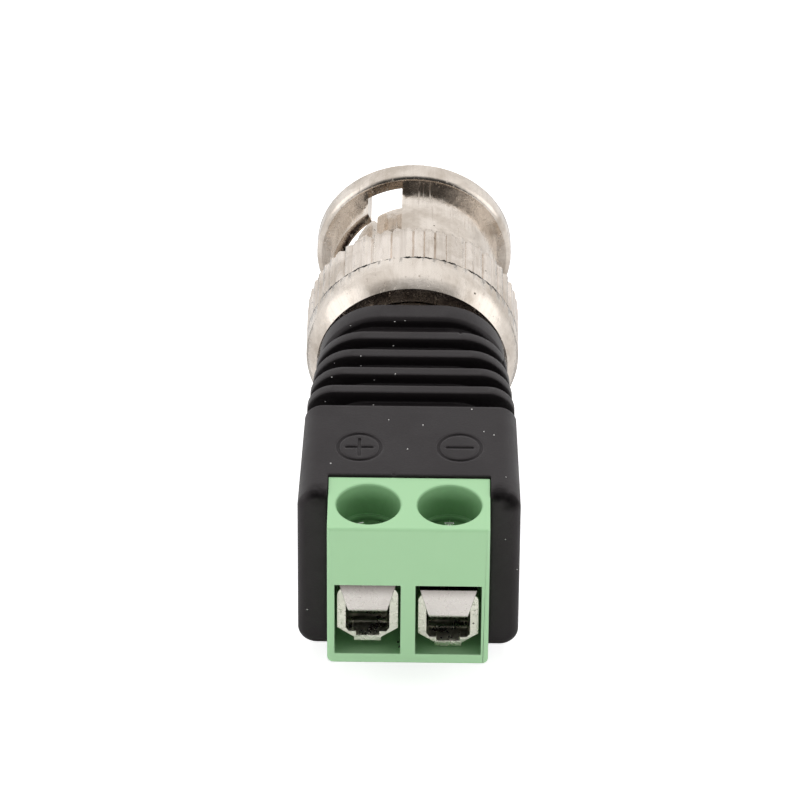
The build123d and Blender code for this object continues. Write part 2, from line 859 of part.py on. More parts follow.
signal_lead_sleeve.part.label = "signal_lead_sleeve"
export_step(signal_lead_sleeve.part, "parts/signal_lead_sleeve.step")
ground_lead.label = "ground_lead"
export_step(ground_lead, "parts/ground_lead.step")
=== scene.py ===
"""Dressed model of a coaxial bayonet plug to screw terminal adapter.

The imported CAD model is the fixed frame. Its nodes get procedural finishes here, and the pieces that
CAD leaves plain, such as the threaded clamp screws, the polarity marks and the worn knurl, are
worked out as numpy surfaces. X runs across the adapter, Y towards the plug's mouth and Z up. A
class holds its sizes and places in millimetres, unless it says otherwise, and meshes are in metres.
"""

from __future__ import annotations

import json
import logging
import math
from dataclasses import dataclass, field
from enum import Enum
from typing import Any

import bmesh
import bpy
import numpy as np
from mathutils import Matrix, Vector

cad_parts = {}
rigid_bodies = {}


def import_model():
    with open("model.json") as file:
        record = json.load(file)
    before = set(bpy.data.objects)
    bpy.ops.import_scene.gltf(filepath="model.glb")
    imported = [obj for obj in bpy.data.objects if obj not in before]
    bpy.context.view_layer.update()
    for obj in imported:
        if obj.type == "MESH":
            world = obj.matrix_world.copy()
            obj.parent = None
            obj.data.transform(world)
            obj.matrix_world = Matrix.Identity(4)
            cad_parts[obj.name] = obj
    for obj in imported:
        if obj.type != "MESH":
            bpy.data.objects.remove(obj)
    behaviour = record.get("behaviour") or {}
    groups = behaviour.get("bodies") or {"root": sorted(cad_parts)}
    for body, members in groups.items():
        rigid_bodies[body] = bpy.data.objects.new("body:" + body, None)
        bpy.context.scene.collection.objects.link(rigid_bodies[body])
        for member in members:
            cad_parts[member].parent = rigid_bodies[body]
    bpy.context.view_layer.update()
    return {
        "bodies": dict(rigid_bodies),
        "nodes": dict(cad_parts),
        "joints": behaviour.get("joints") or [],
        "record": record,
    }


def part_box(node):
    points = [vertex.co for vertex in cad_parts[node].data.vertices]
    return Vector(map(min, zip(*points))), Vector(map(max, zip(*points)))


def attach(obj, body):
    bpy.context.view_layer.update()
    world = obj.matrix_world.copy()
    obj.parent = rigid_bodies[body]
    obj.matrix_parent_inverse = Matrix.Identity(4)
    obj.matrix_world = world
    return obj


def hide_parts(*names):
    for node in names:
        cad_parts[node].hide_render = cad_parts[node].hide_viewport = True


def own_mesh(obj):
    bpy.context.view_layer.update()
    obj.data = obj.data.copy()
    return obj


LOG = logging.getLogger("adapter")
Colour = tuple[float, float, float]
XYZ = tuple[float, float, float]
Surface = tuple[np.ndarray, np.ndarray]
Socket = bpy.types.NodeSocket
MM = 0.001
# The knurl touches the floor, so its radius is the height of the plug's axis
AXIS_HEIGHT = 7.0 * MM
# Where the knurl's rear end lies in Y
KNURL_REAR = 7.93 * MM
KNURL_TEETH = 60
MERGE_DISTANCE = 0.0005 * MM
# How many rays the occlusion and bevel nodes of a material take
LOOKUP_SAMPLES = 6
# Where dust and dark grains lie on the adapter, in millimetres
DUST_PLACES = (
    (-0.15, -11.47, 13.05),
    (5.31, -9.89, 13.04),
    (6.06, -14.2, 13.02),
    (-4.01, 2.64, 12.28),
    (-1.13, 2.55, 12.72),
    (-1.19, 0.32, 12.43),
    (-3.27, -1.62, 13.0),
    (-4.97, -1.62, 12.4),
    (-5.11, -3.56, 12.74),
    (-5.48, -5.5, 12.23),
    (-2.39, -5.82, 12.24),
    (-1.38, -8.42, 13.03),
    (-0.47, 2.55, 12.8),
    (-3.26, -1.62, 12.22),
    (-2.37, -3.56, 12.54),
    (-1.02, -3.53, 13.02),
    (4.67, -9.56, 13.04),
    (-4.97, -13.05, 13.06),
    (0.8, -8.93, 13.04),
    (3.89, -7.21, 13.03),
    (6.07, -16.24, 9.65),
    (-6.4, -16.24, 3.8),
    (6.84, -16.11, 7.15),
)
GRAIN_PLACES = ((-0.52, -18.8, 2.92), (-0.62, -18.3, 2.9))


class Effect(Enum):
    """Surface effects that more than one finish uses, with the names of their node groups."""

    GRAIN = "moulded_grain"
    SPECKS = "scattered_specks"
    MOTTLE = "cloudy_mottle"
    SCRATCHES = "fine_scratches"
    STREAKS = "turned_streaks"
    END_LINE = "knurl_end_line"


class Pole(Enum):
    """The two poles of the terminal block, as the CAD nodes and bodies spell them."""

    POSITIVE = "positive"
    NEGATIVE = "negative"


class NodeGraph:
    """A shader or group node tree that is built node by node."""

    def __init__(self, tree: bpy.types.NodeTree) -> None:
        """Keeps the tree to build in.

        Args:
            tree: The tree, which may already hold nodes.
        """
        self.tree = tree

    def add(self, kind: str, settings: dict[str, Any] | None = None, **inputs: Any) -> bpy.types.Node:
        """Adds a node, sets its options and feeds its inputs.

        Args:
            kind: Blender's type name of the node.
            settings: Options of the node itself.
            **inputs: What feed() takes.

        Returns:
            The new node.
        """
        node = self.tree.nodes.new(kind)
        for option, value in (settings or {}).items():
            setattr(node, option, value)
        self.feed(node, **inputs)
        return node

    def feed(self, node: bpy.types.Node, **inputs: Any) -> None:
        """Gives a node's inputs their values or links.

        Args:
            node: The node.
            **inputs: A value, a plain colour or an output socket for each input, named with
                underscores. One that has no name of its own is named by its place, as in _0.
        """
        for name, value in inputs.items():
            key = int(name[1:]) if name[1:].isdigit() else name.replace("_", " ")
            socket = node.inputs[key]
            if isinstance(value, bpy.types.NodeSocket):
                self.tree.links.new(value, socket)
            elif socket.type == "RGBA":
                socket.default_value = (*value, 1.0)
            else:
                socket.default_value = value

    def math(self, operation: str, first: Any, second: Any = 0.0) -> Socket:
        """Adds a Math node and returns its output.

        Args:
            operation: The operation's name.
            first: The first value or socket.
            second: The second value or socket, which some operations don't use.

        Returns:
            The node's output socket.
        """
        return self.add("ShaderNodeMath", {"operation": operation}, _0=first, _1=second).outputs[0]

    def ramp(self, value: Socket, low: float, high: float) -> Socket:
        """Turns a value into a mask that rises smoothly from 0 at low to 1 at high.

        Args:
            value: The value to read.
            low: Where the mask leaves 0.
            high: Where it reaches 1.

        Returns:
            The mask's socket.
        """
        node = self.add(
            "ShaderNodeMapRange",
            {"interpolation_type": "SMOOTHSTEP"},
            Value=value,
            From_Min=low,
            From_Max=high,
        )
        return node.outputs["Result"]

    def blend(self, mask: Any, first: Any, second: Any) -> Socket:
        """Mixes two colours by a mask.

        Args:
            mask: 0 for the first colour and 1 for the second.
            first: A colour or its socket.
            second: A colour or its socket.

        Returns:
            The mixed colour's socket.
        """
        node = self.add("ShaderNodeMix", {"data_type": "RGBA"}, _0=mask, _6=first, _7=second)
        return node.outputs[2]

    def noise(
        self, place: Socket, per_metre: Any, detail: float, roughness: float = 0.5, distortion: float = 0.0
    ) -> Socket:
        """Adds a noise texture and returns its value.

        Args:
            place: The coordinates that it follows.
            per_metre: How many of its waves there are to a metre, as a value or socket.
            detail: How many finer layers it adds.
            roughness: How strong the finer layers are.
            distortion: How much it is warped.

        Returns:
            The value's socket.
        """
        node = self.add(
            "ShaderNodeTexNoise",
            Vector=place,
            Scale=per_metre,
            Detail=detail,
            Roughness=roughness,
            Distortion=distortion,
        )
        return node.outputs[0]

    def split(self, place: Socket) -> tuple[Socket, ...]:
        """The place's X, Y and Z, each as a socket."""
        return tuple(self.add("ShaderNodeSeparateXYZ", Vector=place).outputs)


@dataclass(frozen=True)
class EffectMaker:
    """Builds what an effect's node group holds, from the sockets of the group's own inputs."""

    graph: NodeGraph
    place: Socket
    per_metre: Socket
    amount: Socket

    def grain(self) -> Socket:
        """The height of a spark-eroded mould's texture: fine noise times the amount."""
        noise = self.graph.noise(self.place, self.per_metre, detail=2.0, roughness=0.6)
        return self.graph.math("MULTIPLY", noise, self.amount)

    def specks(self) -> Socket:
        """A mask of small round specks, one in each of the share of cells that the amount says.

        A speck is where the distance from the cell's point, less a finer noise, is small.

        Returns:
            The mask's socket.
        """
        graph = self.graph
        rim = 0.06
        core = 0.02
        unevenness = 0.14
        waves_to_cell = 5.0
        cells = graph.add("ShaderNodeTexVoronoi", Vector=self.place, Scale=self.per_metre)
        waves_per_metre = graph.math("MULTIPLY", self.per_metre, waves_to_cell)
        finer = graph.noise(self.place, waves_per_metre, detail=2.0)
        apart = graph.math("SUBTRACT", cells.outputs["Distance"], graph.math("MULTIPLY", finer, unevenness))
        draw = graph.add("ShaderNodeSeparateColor", Color=cells.outputs["Color"]).outputs[0]
        chosen = graph.math("LESS_THAN", draw, self.amount)
        return graph.math("MULTIPLY", graph.ramp(apart, rim, core), chosen)

    def mottle(self) -> Socket:
        """Soft clouds: the middle values of warped noise spread to a mask, times the amount."""
        clouds = self.graph.noise(self.place, self.per_metre, detail=4.0, roughness=0.62, distortion=0.4)
        return self.graph.math("MULTIPLY", self.graph.ramp(clouds, low=0.38, high=0.68), self.amount)

    def scratches(self) -> Socket:
        """Hairlines in three directions: noise stretched along each, cut off high, times the amount.

        Returns:
            The mask's socket.
        """
        graph = self.graph
        total: Any = 0.0
        stretch = (1.0, 0.07, 1.0)
        for turn in (0.3, 1.35, 2.4):
            aim = (0.5 * turn, 0.7 * turn, turn)
            aimed = graph.add("ShaderNodeMapping", Vector=self.place, Rotation=aim, Scale=stretch)
            hairs = graph.noise(aimed.outputs[0], self.per_metre, detail=1.0)
            total = graph.math("ADD", graph.ramp(hairs, low=0.69, high=0.76), total)
        return graph.math("MULTIPLY", total, self.amount)

    def about_axis(self) -> tuple[Socket, Socket]:
        """The place as seen from the plug's axis, its angle by the arctangent of height over X.

        Returns:
            The place's Y and its angle about the axis.
        """
        across, along, height = self.graph.split(self.place)
        raised = self.graph.math("SUBTRACT", height, AXIS_HEIGHT)
        return along, self.graph.math("ARCTAN2", raised, across)

    def streaks(self) -> Socket:
        """Streaks along the plug's axis: noise over the way round it, stretched along Y.

        The way round is the angle about the axis times the knurl's radius.

        Returns:
            The mask's socket.
        """
        graph = self.graph
        stretch = 0.06
        along, angle = self.about_axis()
        around = graph.math("MULTIPLY", angle, AXIS_HEIGHT)
        rolled = graph.add("ShaderNodeCombineXYZ", X=around, Y=graph.math("MULTIPLY", along, stretch))
        noise = graph.noise(rolled.outputs[0], self.per_metre, detail=3.0, roughness=0.7)
        return graph.math("MULTIPLY", graph.ramp(noise, low=0.3, high=0.75), self.amount)

    def end_shadow(self) -> Socket:
        """A painted shadow: the dark scalloped line where the knurl's grooves run out at its rear end.

        It lies at the knurl's end in Y plus a rectified cosine of the angle, with one scallop to a
        tooth. Its width follows a noise, which thins it or breaks it.

        Returns:
            The mask's socket.
        """
        graph = self.graph
        scallop = 0.09 * MM
        widest = 0.12 * MM
        softness = 0.03 * MM
        along, angle = self.about_axis()
        teeth = graph.math("MULTIPLY", angle, 0.5 * KNURL_TEETH)
        wave = graph.math("ABSOLUTE", graph.math("COSINE", teeth))
        shifted = graph.math("ADD", along, graph.math("MULTIPLY", wave, -scallop))
        apart = graph.math("ABSOLUTE", graph.math("SUBTRACT", shifted, KNURL_REAR))
        noise = graph.noise(self.place, self.per_metre, detail=2.0)
        width = graph.math("MULTIPLY", graph.ramp(noise, low=0.25, high=0.55), widest)
        line = graph.ramp(graph.math("SUBTRACT", width, apart), 0.0, softness)
        return graph.math("MULTIPLY", line, self.amount)


@dataclass
class EffectLibrary:
    """Builds each effect's node group once and places it in materials."""

    groups: dict[Effect, bpy.types.NodeTree] = field(default_factory=dict)

    def build(self) -> None:
        """Makes every group, all with the same sockets."""
        makers = {
            Effect.GRAIN: EffectMaker.grain,
            Effect.SPECKS: EffectMaker.specks,
            Effect.MOTTLE: EffectMaker.mottle,
            Effect.SCRATCHES: EffectMaker.scratches,
            Effect.STREAKS: EffectMaker.streaks,
            Effect.END_LINE: EffectMaker.end_shadow,
        }
        for effect, maker in makers.items():
            tree = bpy.data.node_groups.new(effect.value, "ShaderNodeTree")
            tree.interface.new_socket("Place", in_out="INPUT", socket_type="NodeSocketVector")
            tree.interface.new_socket("Per Metre", in_out="INPUT", socket_type="NodeSocketFloat")
            tree.interface.new_socket("Amount", in_out="INPUT", socket_type="NodeSocketFloat")
            tree.interface.new_socket("Value", in_out="OUTPUT", socket_type="NodeSocketFloat")
            graph = NodeGraph(tree)
            place, per_metre, amount = tuple(graph.add("NodeGroupInput").outputs)[:3]
            graph.add("NodeGroupOutput", _0=maker(EffectMaker(graph, place, per_metre, amount)))
            self.groups[effect] = tree
        LOG.info("%d effect groups", len(self.groups))

    def place(
        self, graph: NodeGraph, effect: Effect, place: Socket, per_metre: float, amount: float
    ) -> Socket:
        """Puts one effect into a material.

        Args:
            graph: The material's graph.
            effect: Which effect.
            place: The coordinates that it follows.
            per_metre: How many of its features there are to a metre.
            amount: How strong or how common they are, from 0 to 1.

        Returns:
            The effect's output socket.
        """
        group = {"node_tree": self.groups[effect]}
        node = graph.add("ShaderNodeGroup", group, Place=place, Per_Metre=per_metre, Amount=amount)
        return node.outputs["Value"]


@dataclass(frozen=True)
class Finish:
    """What every finish shares: a plain surface, how deep its bump goes and masks of the shape."""

    name: str
    colour: Colour
    roughness: float
    relief: float = 0.02

    def start(self) -> tuple[bpy.types.Material, NodeGraph, bpy.types.Node, Socket]:
        """Makes the material with its shader.

        Returns:
            The material, its graph, the shader node and the object coordinates' socket.
        """
        material = bpy.data.materials.new(self.name)
        material.use_nodes = True
        material.diffuse_color = (*self.colour, 1.0)
        graph = NodeGraph(material.node_tree)
        shader = material.node_tree.nodes["Principled BSDF"]
        graph.feed(shader, Base_Color=self.colour, Roughness=self.roughness)
        place = graph.add("ShaderNodeTexCoord").outputs["Object"]
        return material, graph, shader, place

    @staticmethod
    def painted_shade_mask(graph: NodeGraph, reach: float, amount: float, full: float) -> Socket:
        """A mask of painted shade in hollows and corners, where the surface has little open space before
        it.

        Args:
            graph: The material's graph.
            reach: How far to look for other surfaces, in millimetres.
            amount: The mask's strength where it is full.
            full: The closed share at which it is full.

        Returns:
            The mask's socket.
        """
        least = 0.12
        lookup = {"samples": LOOKUP_SAMPLES}
        openness = graph.add("ShaderNodeAmbientOcclusion", lookup, Distance=reach * MM).outputs["AO"]
        closed = graph.math("SUBTRACT", 1.0, openness)
        return graph.math("MULTIPLY", graph.ramp(closed, least, full), amount)

    @staticmethod
    def rounded_normal(graph: NodeGraph, reach: float) -> Socket:
        """The surface's normal with its edges rounded over a reach in millimetres."""
        return graph.add("ShaderNodeBevel", {"samples": LOOKUP_SAMPLES}, Radius=reach * MM).outputs[0]

    @classmethod
    def edge_mask(cls, graph: NodeGraph, reach: float, amount: float) -> Socket:
        """A mask along edges: how far a rounded normal leans from the surface's own, cut off low.

        Args:
            graph: The material's graph.
            reach: How far from an edge the mask goes, in millimetres.
            amount: The mask's strength at the edge.

        Returns:
            The mask's socket.
        """
        flat_cosine = 0.985
        edge_cosine = 0.88
        facing = graph.add(
            "ShaderNodeVectorMath",
            {"operation": "DOT_PRODUCT"},
            _0=cls.rounded_normal(graph, reach),
            _1=graph.add("ShaderNodeNewGeometry").outputs["Normal"],
        )
        return graph.math("MULTIPLY", graph.ramp(facing.outputs["Value"], flat_cosine, edge_cosine), amount)


@dataclass(frozen=True)
class PlasticFinish(Finish):
    """Moulded plastic: fine grain, a faint change of gloss, rubbed patches, dust, smudges, pale edges that
    are partly wear and partly a painted highlight, and painted shade in hollows and on hole walls.
    """

    speck_colour: Colour = (0.8, 0.8, 0.8)
    specks: float = 0.0
    specks_per_metre: float = 900.0
    rub_colour: Colour = (0.2, 0.2, 0.2)
    rub: float = 0.0
    rubs_per_metre: float = 420.0
    grain: float = 0.3
    grains_per_metre: float = 9000.0
    gloss_change: float = 0.1
    gloss_per_metre: float = 260.0
    # Pale edges: partly wear and partly a painted highlight
    edge_wear_and_highlight_colour: Colour = (0.2, 0.2, 0.2)
    edge: float = 0.0
    edge_reach: float = 0.12
    smudges: tuple[XYZ, ...] = ()
    smudge_colour: Colour = (0.001, 0.001, 0.001)
    smudge: float = 0.7
    smudge_reach: float = 1.3
    smudge_clouds_per_metre: float = 1100.0
    sheen: float = 0.5
    sheen_tint: Colour = (1.0, 1.0, 1.0)
    rounding: float = 0.0
    well_shade: float = 0.0
    well_place: tuple[float, float] = (2.54, -16.9)
    well_radius: float = 2.06
    well_heights: tuple[float, float] = (9.0, 12.85)
    # Painted shade: the colour that hollows, corners and the wells' walls are darkened towards
    painted_shade_colour: Colour = (0.0, 0.0, 0.0)
    painted_shade: float = 0.0
    painted_shade_reach: float = 3.0
    painted_shade_full: float = 0.85

    def material(self, effects: EffectLibrary) -> bpy.types.Material:
        """Builds the material.

        Args:
            effects: The shared effect groups.

        Returns:
            The finished material.
        """
        material, graph, shader, place = self.start()
        rubbed = effects.place(graph, Effect.MOTTLE, place, self.rubs_per_metre, self.rub)
        colour = graph.blend(rubbed, self.colour, self.rub_colour)
        dusty = effects.place(graph, Effect.SPECKS, place, self.specks_per_metre, self.specks)
        colour = graph.blend(dusty, colour, self.speck_colour)
        # Pale edges: partly wear, partly a painted highlight where rounded edges catch the light
        if self.edge:
            worn = self.edge_mask(graph, self.edge_reach, self.edge)
            colour = graph.blend(worn, colour, self.edge_wear_and_highlight_colour)
        # Painted shade: hollows and corners darkened by an occlusion lookup
        if self.painted_shade:
            closed = self.painted_shade_mask(graph, self.painted_shade_reach, self.painted_shade, self.painted_shade_full)
            colour = graph.blend(closed, colour, self.painted_shade_colour)
        # Painted shade: the walls of the screw holes darkened towards the shade colour
        if self.well_shade:
            colour = graph.blend(self.well_shade_mask(graph, place), colour, self.painted_shade_colour)
        if self.smudges:
            soiled = self.smudge_mask(graph, effects, place)
            colour = graph.blend(soiled, colour, self.smudge_colour)
            graph.feed(shader, Metallic=soiled)
        cloudy = effects.place(graph, Effect.MOTTLE, place, self.gloss_per_metre, self.gloss_change)
        graph.feed(shader, Base_Color=colour, Roughness=graph.math("ADD", cloudy, self.roughness))
        graph.feed(shader, Specular_IOR_Level=self.sheen, Specular_Tint=self.sheen_tint)
        height = effects.place(graph, Effect.GRAIN, place, self.grains_per_metre, 1.0)
        bump = graph.add("ShaderNodeBump", Strength=self.grain, Distance=self.relief * MM, Height=height)
        if self.rounding:
            graph.feed(bump, Normal=self.rounded_normal(graph, self.rounding))
        graph.feed(shader, Normal=bump.outputs[0])
        return material

    def well_shade_mask(self, graph: NodeGraph, place: Socket) -> Socket:
        """Painted shade on the walls of two upright holes that mirror each other in X, between two heights.

        Args:
            graph: The material's graph.
            place: The coordinates.

        Returns:
            The mask's socket.
        """
        across, along, height = graph.split(place)
        middle_x, middle_y = self.well_place
        beside = graph.math("SUBTRACT", graph.math("ABSOLUTE", across), middle_x * MM)
        before = graph.math("SUBTRACT", along, middle_y * MM)
        flat = graph.add("ShaderNodeCombineXYZ", X=beside, Y=before)
        apart = graph.add("ShaderNodeVectorMath", {"operation": "LENGTH"}, _0=flat.outputs[0])
        within = graph.math("LESS_THAN", apart.outputs["Value"], self.well_radius * MM)
        low, high = self.well_heights
        above = graph.math("GREATER_THAN", height, low * MM)
        below = graph.math("LESS_THAN", height, high * MM)
        between = graph.math("MULTIPLY", above, below)
        return graph.math("MULTIPLY", graph.math("MULTIPLY", within, between), self.well_shade)

    def smudge_mask(self, graph: NodeGraph, effects: EffectLibrary, place: Socket) -> Socket:
        """Broken blots round the smudges' places: nearness to the nearest, eaten into by clouds.

        Args:
            graph: The material's graph.
            effects: The shared effect groups.
            place: The coordinates.

        Returns:
            The mask's socket.
        """
        least = 0.02
        full = 0.6
        nearest: Any = self.smudge_reach * MM
        for smudge in self.smudges:
            centre = [value * MM for value in smudge]
            apart = graph.add("ShaderNodeVectorMath", {"operation": "DISTANCE"}, _0=place, _1=centre)
            nearest = graph.math("MINIMUM", nearest, apart.outputs["Value"])
        near = graph.ramp(nearest, self.smudge_reach * MM, 0.0)
        clouds = effects.place(graph, Effect.GRAIN, place, self.smudge_clouds_per_metre, 1.0)
        blots = graph.ramp(graph.math("MULTIPLY", near, clouds), least, full)
        return graph.math("MULTIPLY", blots, self.smudge)


@dataclass(frozen=True)
class MetalFinish(Finish):
    """Plated or bare metal: stains, dark pits, streaks, hairline scratches and a waved surface, with
    painted shade in hollows, towards the top and along the knurl's rear end.
    """

    stain_colour: Colour = (0.45, 0.38, 0.31)
    stain: float = 0.3
    stains_per_metre: float = 330.0
    pit_colour: Colour = (0.12, 0.1, 0.08)
    pits: float = 0.1
    pits_per_metre: float = 1500.0
    scratches: float = 0.3
    scratches_per_metre: float = 4200.0
    gloss_change: float = 0.12
    gloss_per_metre: float = 900.0
    waviness: float = 0.2
    waves_per_metre: float = 1800.0
    streak_colour: Colour = (0.5, 0.44, 0.37)
    streaks: float = 0.0
    streaks_per_metre: float = 2600.0
    streak_roughness: float = 0.35
    # Painted shadow: a dark scalloped line at the knurl's rear end
    end_shadow_colour: Colour = (0.01, 0.008, 0.006)
    end_shadow: float = 0.0
    breaks_per_metre: float = 700.0
    # Painted shade: the colour that the metal darkens towards near its top
    top_shade_colour: Colour = (0.1, 0.075, 0.065)
    top_shade: float = 0.0
    top_shade_heights: tuple[float, float] = (7.1, 8.5)
    # Painted shade: the colour that hollows and corners are darkened towards
    painted_shade_colour: Colour = (0.02, 0.014, 0.01)
    painted_shade: float = 0.0
    painted_shade_reach: float = 4.0
    painted_shade_full: float = 0.6

    def material(self, effects: EffectLibrary) -> bpy.types.Material:
        """Builds the material.

        Args:
            effects: The shared effect groups.

        Returns:
            The finished material.
        """
        material, graph, shader, place = self.start()
        stained = effects.place(graph, Effect.MOTTLE, place, self.stains_per_metre, self.stain)
        colour = graph.blend(stained, self.colour, self.stain_colour)
        pitted = effects.place(graph, Effect.SPECKS, place, self.pits_per_metre, self.pits)
        colour = graph.blend(pitted, colour, self.pit_colour)
        scratched = effects.place(graph, Effect.SCRATCHES, place, self.scratches_per_metre, self.scratches)
        cloudy = effects.place(graph, Effect.MOTTLE, place, self.gloss_per_metre, self.gloss_change)
        rough = graph.math("ADD", graph.math("ADD", cloudy, self.roughness), scratched)
        if self.streaks:
            streaked = effects.place(graph, Effect.STREAKS, place, self.streaks_per_metre, self.streaks)
            colour = graph.blend(streaked, colour, self.streak_colour)
            rough = graph.math("ADD", rough, graph.math("MULTIPLY", streaked, self.streak_roughness))
        # Painted shade: darker towards the top of the flap, between the two heights in Z
        if self.top_shade:
            low, high = self.top_shade_heights
            rise = graph.ramp(graph.split(place)[2], low * MM, high * MM)
            colour = graph.blend(graph.math("MULTIPLY", rise, self.top_shade), colour, self.top_shade_colour)
        # Painted shadow at the knurl's rear end, where its grooves run into shade
        if self.end_shadow:
            end_shaded = effects.place(graph, Effect.END_LINE, place, self.breaks_per_metre, self.end_shadow)
            colour = graph.blend(end_shaded, colour, self.end_shadow_colour)
        # Painted shade: hollows and corners darkened by an occlusion lookup
        if self.painted_shade:
            closed = self.painted_shade_mask(graph, self.painted_shade_reach, self.painted_shade, self.painted_shade_full)
            colour = graph.blend(closed, colour, self.painted_shade_colour)
        graph.feed(shader, Base_Color=colour, Roughness=rough, Metallic=1.0)
        waves = effects.place(graph, Effect.GRAIN, place, self.waves_per_metre, 1.0)
        height = graph.math("SUBTRACT", waves, scratched)
        bump = graph.add("ShaderNodeBump", Strength=self.waviness, Distance=self.relief * MM, Height=height)
        graph.feed(shader, Normal=bump.outputs[0])
        return material


@dataclass
class FinishBook:
    """All finishes of the adapter, each made into a material once."""

    effects: EffectLibrary
    materials: dict[str, bpy.types.Material] = field(default_factory=dict)

    def build(self) -> None:
        """Makes a material for each slot of the record, and for cages, knurl crowns and dirt."""
        finishes = (
            PlasticFinish(
                "black_plastic",
                (0.0128, 0.0108, 0.0114),
                0.4,
                specks=0.012,
                rub=0.05,
                rub_colour=(0.06, 0.055, 0.056),
                grain=0.6,
                edge_wear_and_highlight_colour=(0.075, 0.068, 0.07),
                edge=0.55,
                smudges=((-5.7, -15.9, 12.95), (5.7, -15.7, 13.0), (6.4, -16.0, 12.6)),
                sheen=0.4,
                sheen_tint=(1.0, 0.93, 0.95),
                rounding=0.26,
            ),
            PlasticFinish(
                "green_plastic",
                (0.44, 0.735, 0.42),
                0.42,
                speck_colour=(0.1, 0.2, 0.08),
                specks=0.004,
                rub=0.08,
                rub_colour=(0.48, 0.77, 0.46),
                grain=0.2,
                edge_wear_and_highlight_colour=(0.62, 0.87, 0.6),
                edge=0.6,
                edge_reach=0.14,
                # Painted shade in hollows and on the screw holes' walls
                painted_shade_colour=(0.09, 0.25, 0.085),
                painted_shade=0.75,
                well_shade=0.3,
            ),
            PlasticFinish("white_plastic", (0.85, 0.84, 0.8), 0.35, grain=0.15),
            PlasticFinish("sleeve_plastic", (0.62, 0.05, 0.04), 0.3, grain=0.1),
            PlasticFinish("gasket_rubber", (0.28, 0.05, 0.035), 0.55, grain=0.4),
            MetalFinish(
                "nickel",
                (0.88, 0.8, 0.72),
                0.12,
                stain=0.7,
                waviness=0.8,
                streaks=0.2,
                end_shadow=1.0,
            ),
            MetalFinish(
                "clamp_metal",
                (0.93, 0.87, 0.83),
                0.2,
                pits=0.05,
                # Painted shade in hollows and corners
                stain=0.12,
                painted_shade=1.0,
                # Painted shade towards the flap's top
                top_shade=0.85,
            ),
            MetalFinish(
                "cage_metal",
                (1.0, 0.99, 0.86),
                0.26,
                pits=0.35,
                stain=0.15,
                waviness=2.2,
                waves_per_metre=5200.0,
            ),
            MetalFinish(
                "knurl_nickel",
                (0.91, 0.83, 0.76),
                0.18,
                pits=0.2,
                stain=0.6,
                waviness=0.9,
                streaks=0.5,
                end_shadow=1.0,
            ),
            MetalFinish("screw_steel", (0.85, 0.85, 0.83), 0.16, pits=0.05, stain=0.1),
            PlasticFinish("dust", (0.75, 0.74, 0.72), 0.7),
            PlasticFinish("grit", (0.012, 0.03, 0.012), 0.5),
            MetalFinish("pin_metal", (0.86, 0.66, 0.3), 0.2, stain_colour=(0.6, 0.42, 0.2)),
            MetalFinish("spring_steel", (0.55, 0.55, 0.55), 0.3, stain=0.1),
            MetalFinish("copper", (0.78, 0.55, 0.42), 0.3, stain_colour=(0.4, 0.26, 0.2)),
        )
        for finish in finishes:
            self.materials[finish.name] = finish.material(self.effects)
        LOG.info("%d materials", len(self.materials))

    def dress_nodes(self, frame: dict[str, Any]) -> None:
        """Gives every CAD node the material of its own slot.
        """
        for subpart in frame["record"]["subparts"]:
            node = frame["nodes"][subpart["node"]]
            material = self.materials[subpart["material_slot"]]
            node.data.materials.clear()
            node.data.materials.append(material)
            LOG.info("%s: %s", subpart["node"], material.name)


def grid_faces(rows: int, columns: int, wrap_rows: bool, wrap_columns: bool) -> np.ndarray:
    """Quads of a grid of points that are numbered row by row.

    Args:
        rows: Number of rows.
        columns: Number of columns.
        wrap_rows: Whether the last row joins the first.
        wrap_columns: Whether the last column joins the first.

    Returns:
        One row of four point numbers for each face.
    """
    row = np.arange(rows if wrap_rows else rows - 1)[:, None]
    column = np.arange(columns if wrap_columns else columns - 1)[None, :]
    below = (row + 1) % rows
    right = (column + 1) % columns
    corners = (
        row * columns + column,
        row * columns + right,
        below * columns + right,
        below * columns + column,
    )
    return np.stack(np.broadcast_arrays(*corners), axis=-1).reshape(-1, 4)


def link_object(name: str, data: bpy.types.ID) -> bpy.types.Object:
    """Makes an object at the origin and links it to the scene.

    Args:
        name: The object's name.
        data: Its mesh, lamp or camera.

    Returns:
        The object.
    """
    thing = bpy.data.objects.new(name, data)
    bpy.context.scene.collection.objects.link(thing)
    return thing


def make_piece(name: str, parts: list[Surface], material: bpy.types.Material) -> bpy.types.Object:
    """Puts surfaces into one mesh object at the origin, merged and facing outwards.

    Args:
        name: The piece's name.
        parts: Points in metres and faces of each surface.
        material: The piece's material.

    Returns:
        The new object.
    """
    points: list[np.ndarray] = []
    faces: list[list[int]] = []
    count = 0
    for place, quads in parts:
        points.append(place.reshape(-1, 3))
        faces.extend((quads + count).tolist())
        count += points[-1].shape[0]
    mesh = bpy.data.meshes.new(name)
    mesh.from_pydata(np.concatenate(points).tolist(), [], faces)
    merge_points(mesh)
    dress_mesh(mesh, material)
    LOG.info("%s: %d faces", name, len(mesh.polygons))
    return link_object(name, mesh)


def dress_mesh(mesh: bpy.types.Mesh, material: bpy.types.Material) -> None:
    """Shades a mesh smooth and makes the material its only one.

    Args:
        mesh: The mesh.
        material: The material.
    """
    mesh.polygons.foreach_set("use_smooth", [True] * len(mesh.polygons))
    mesh.materials.clear()
    mesh.materials.append(material)


def merge_points(mesh: bpy.types.Mesh) -> None:
    """Merges doubled points and turns the faces outwards.

    Args:
        mesh: The mesh to tidy.
    """
    work = bmesh.new()
    work.from_mesh(mesh)
    bmesh.ops.remove_doubles(work, verts=work.verts, dist=MERGE_DISTANCE)
    bmesh.ops.recalc_face_normals(work, faces=work.faces)
    work.to_mesh(mesh)
    work.free()
    mesh.update()


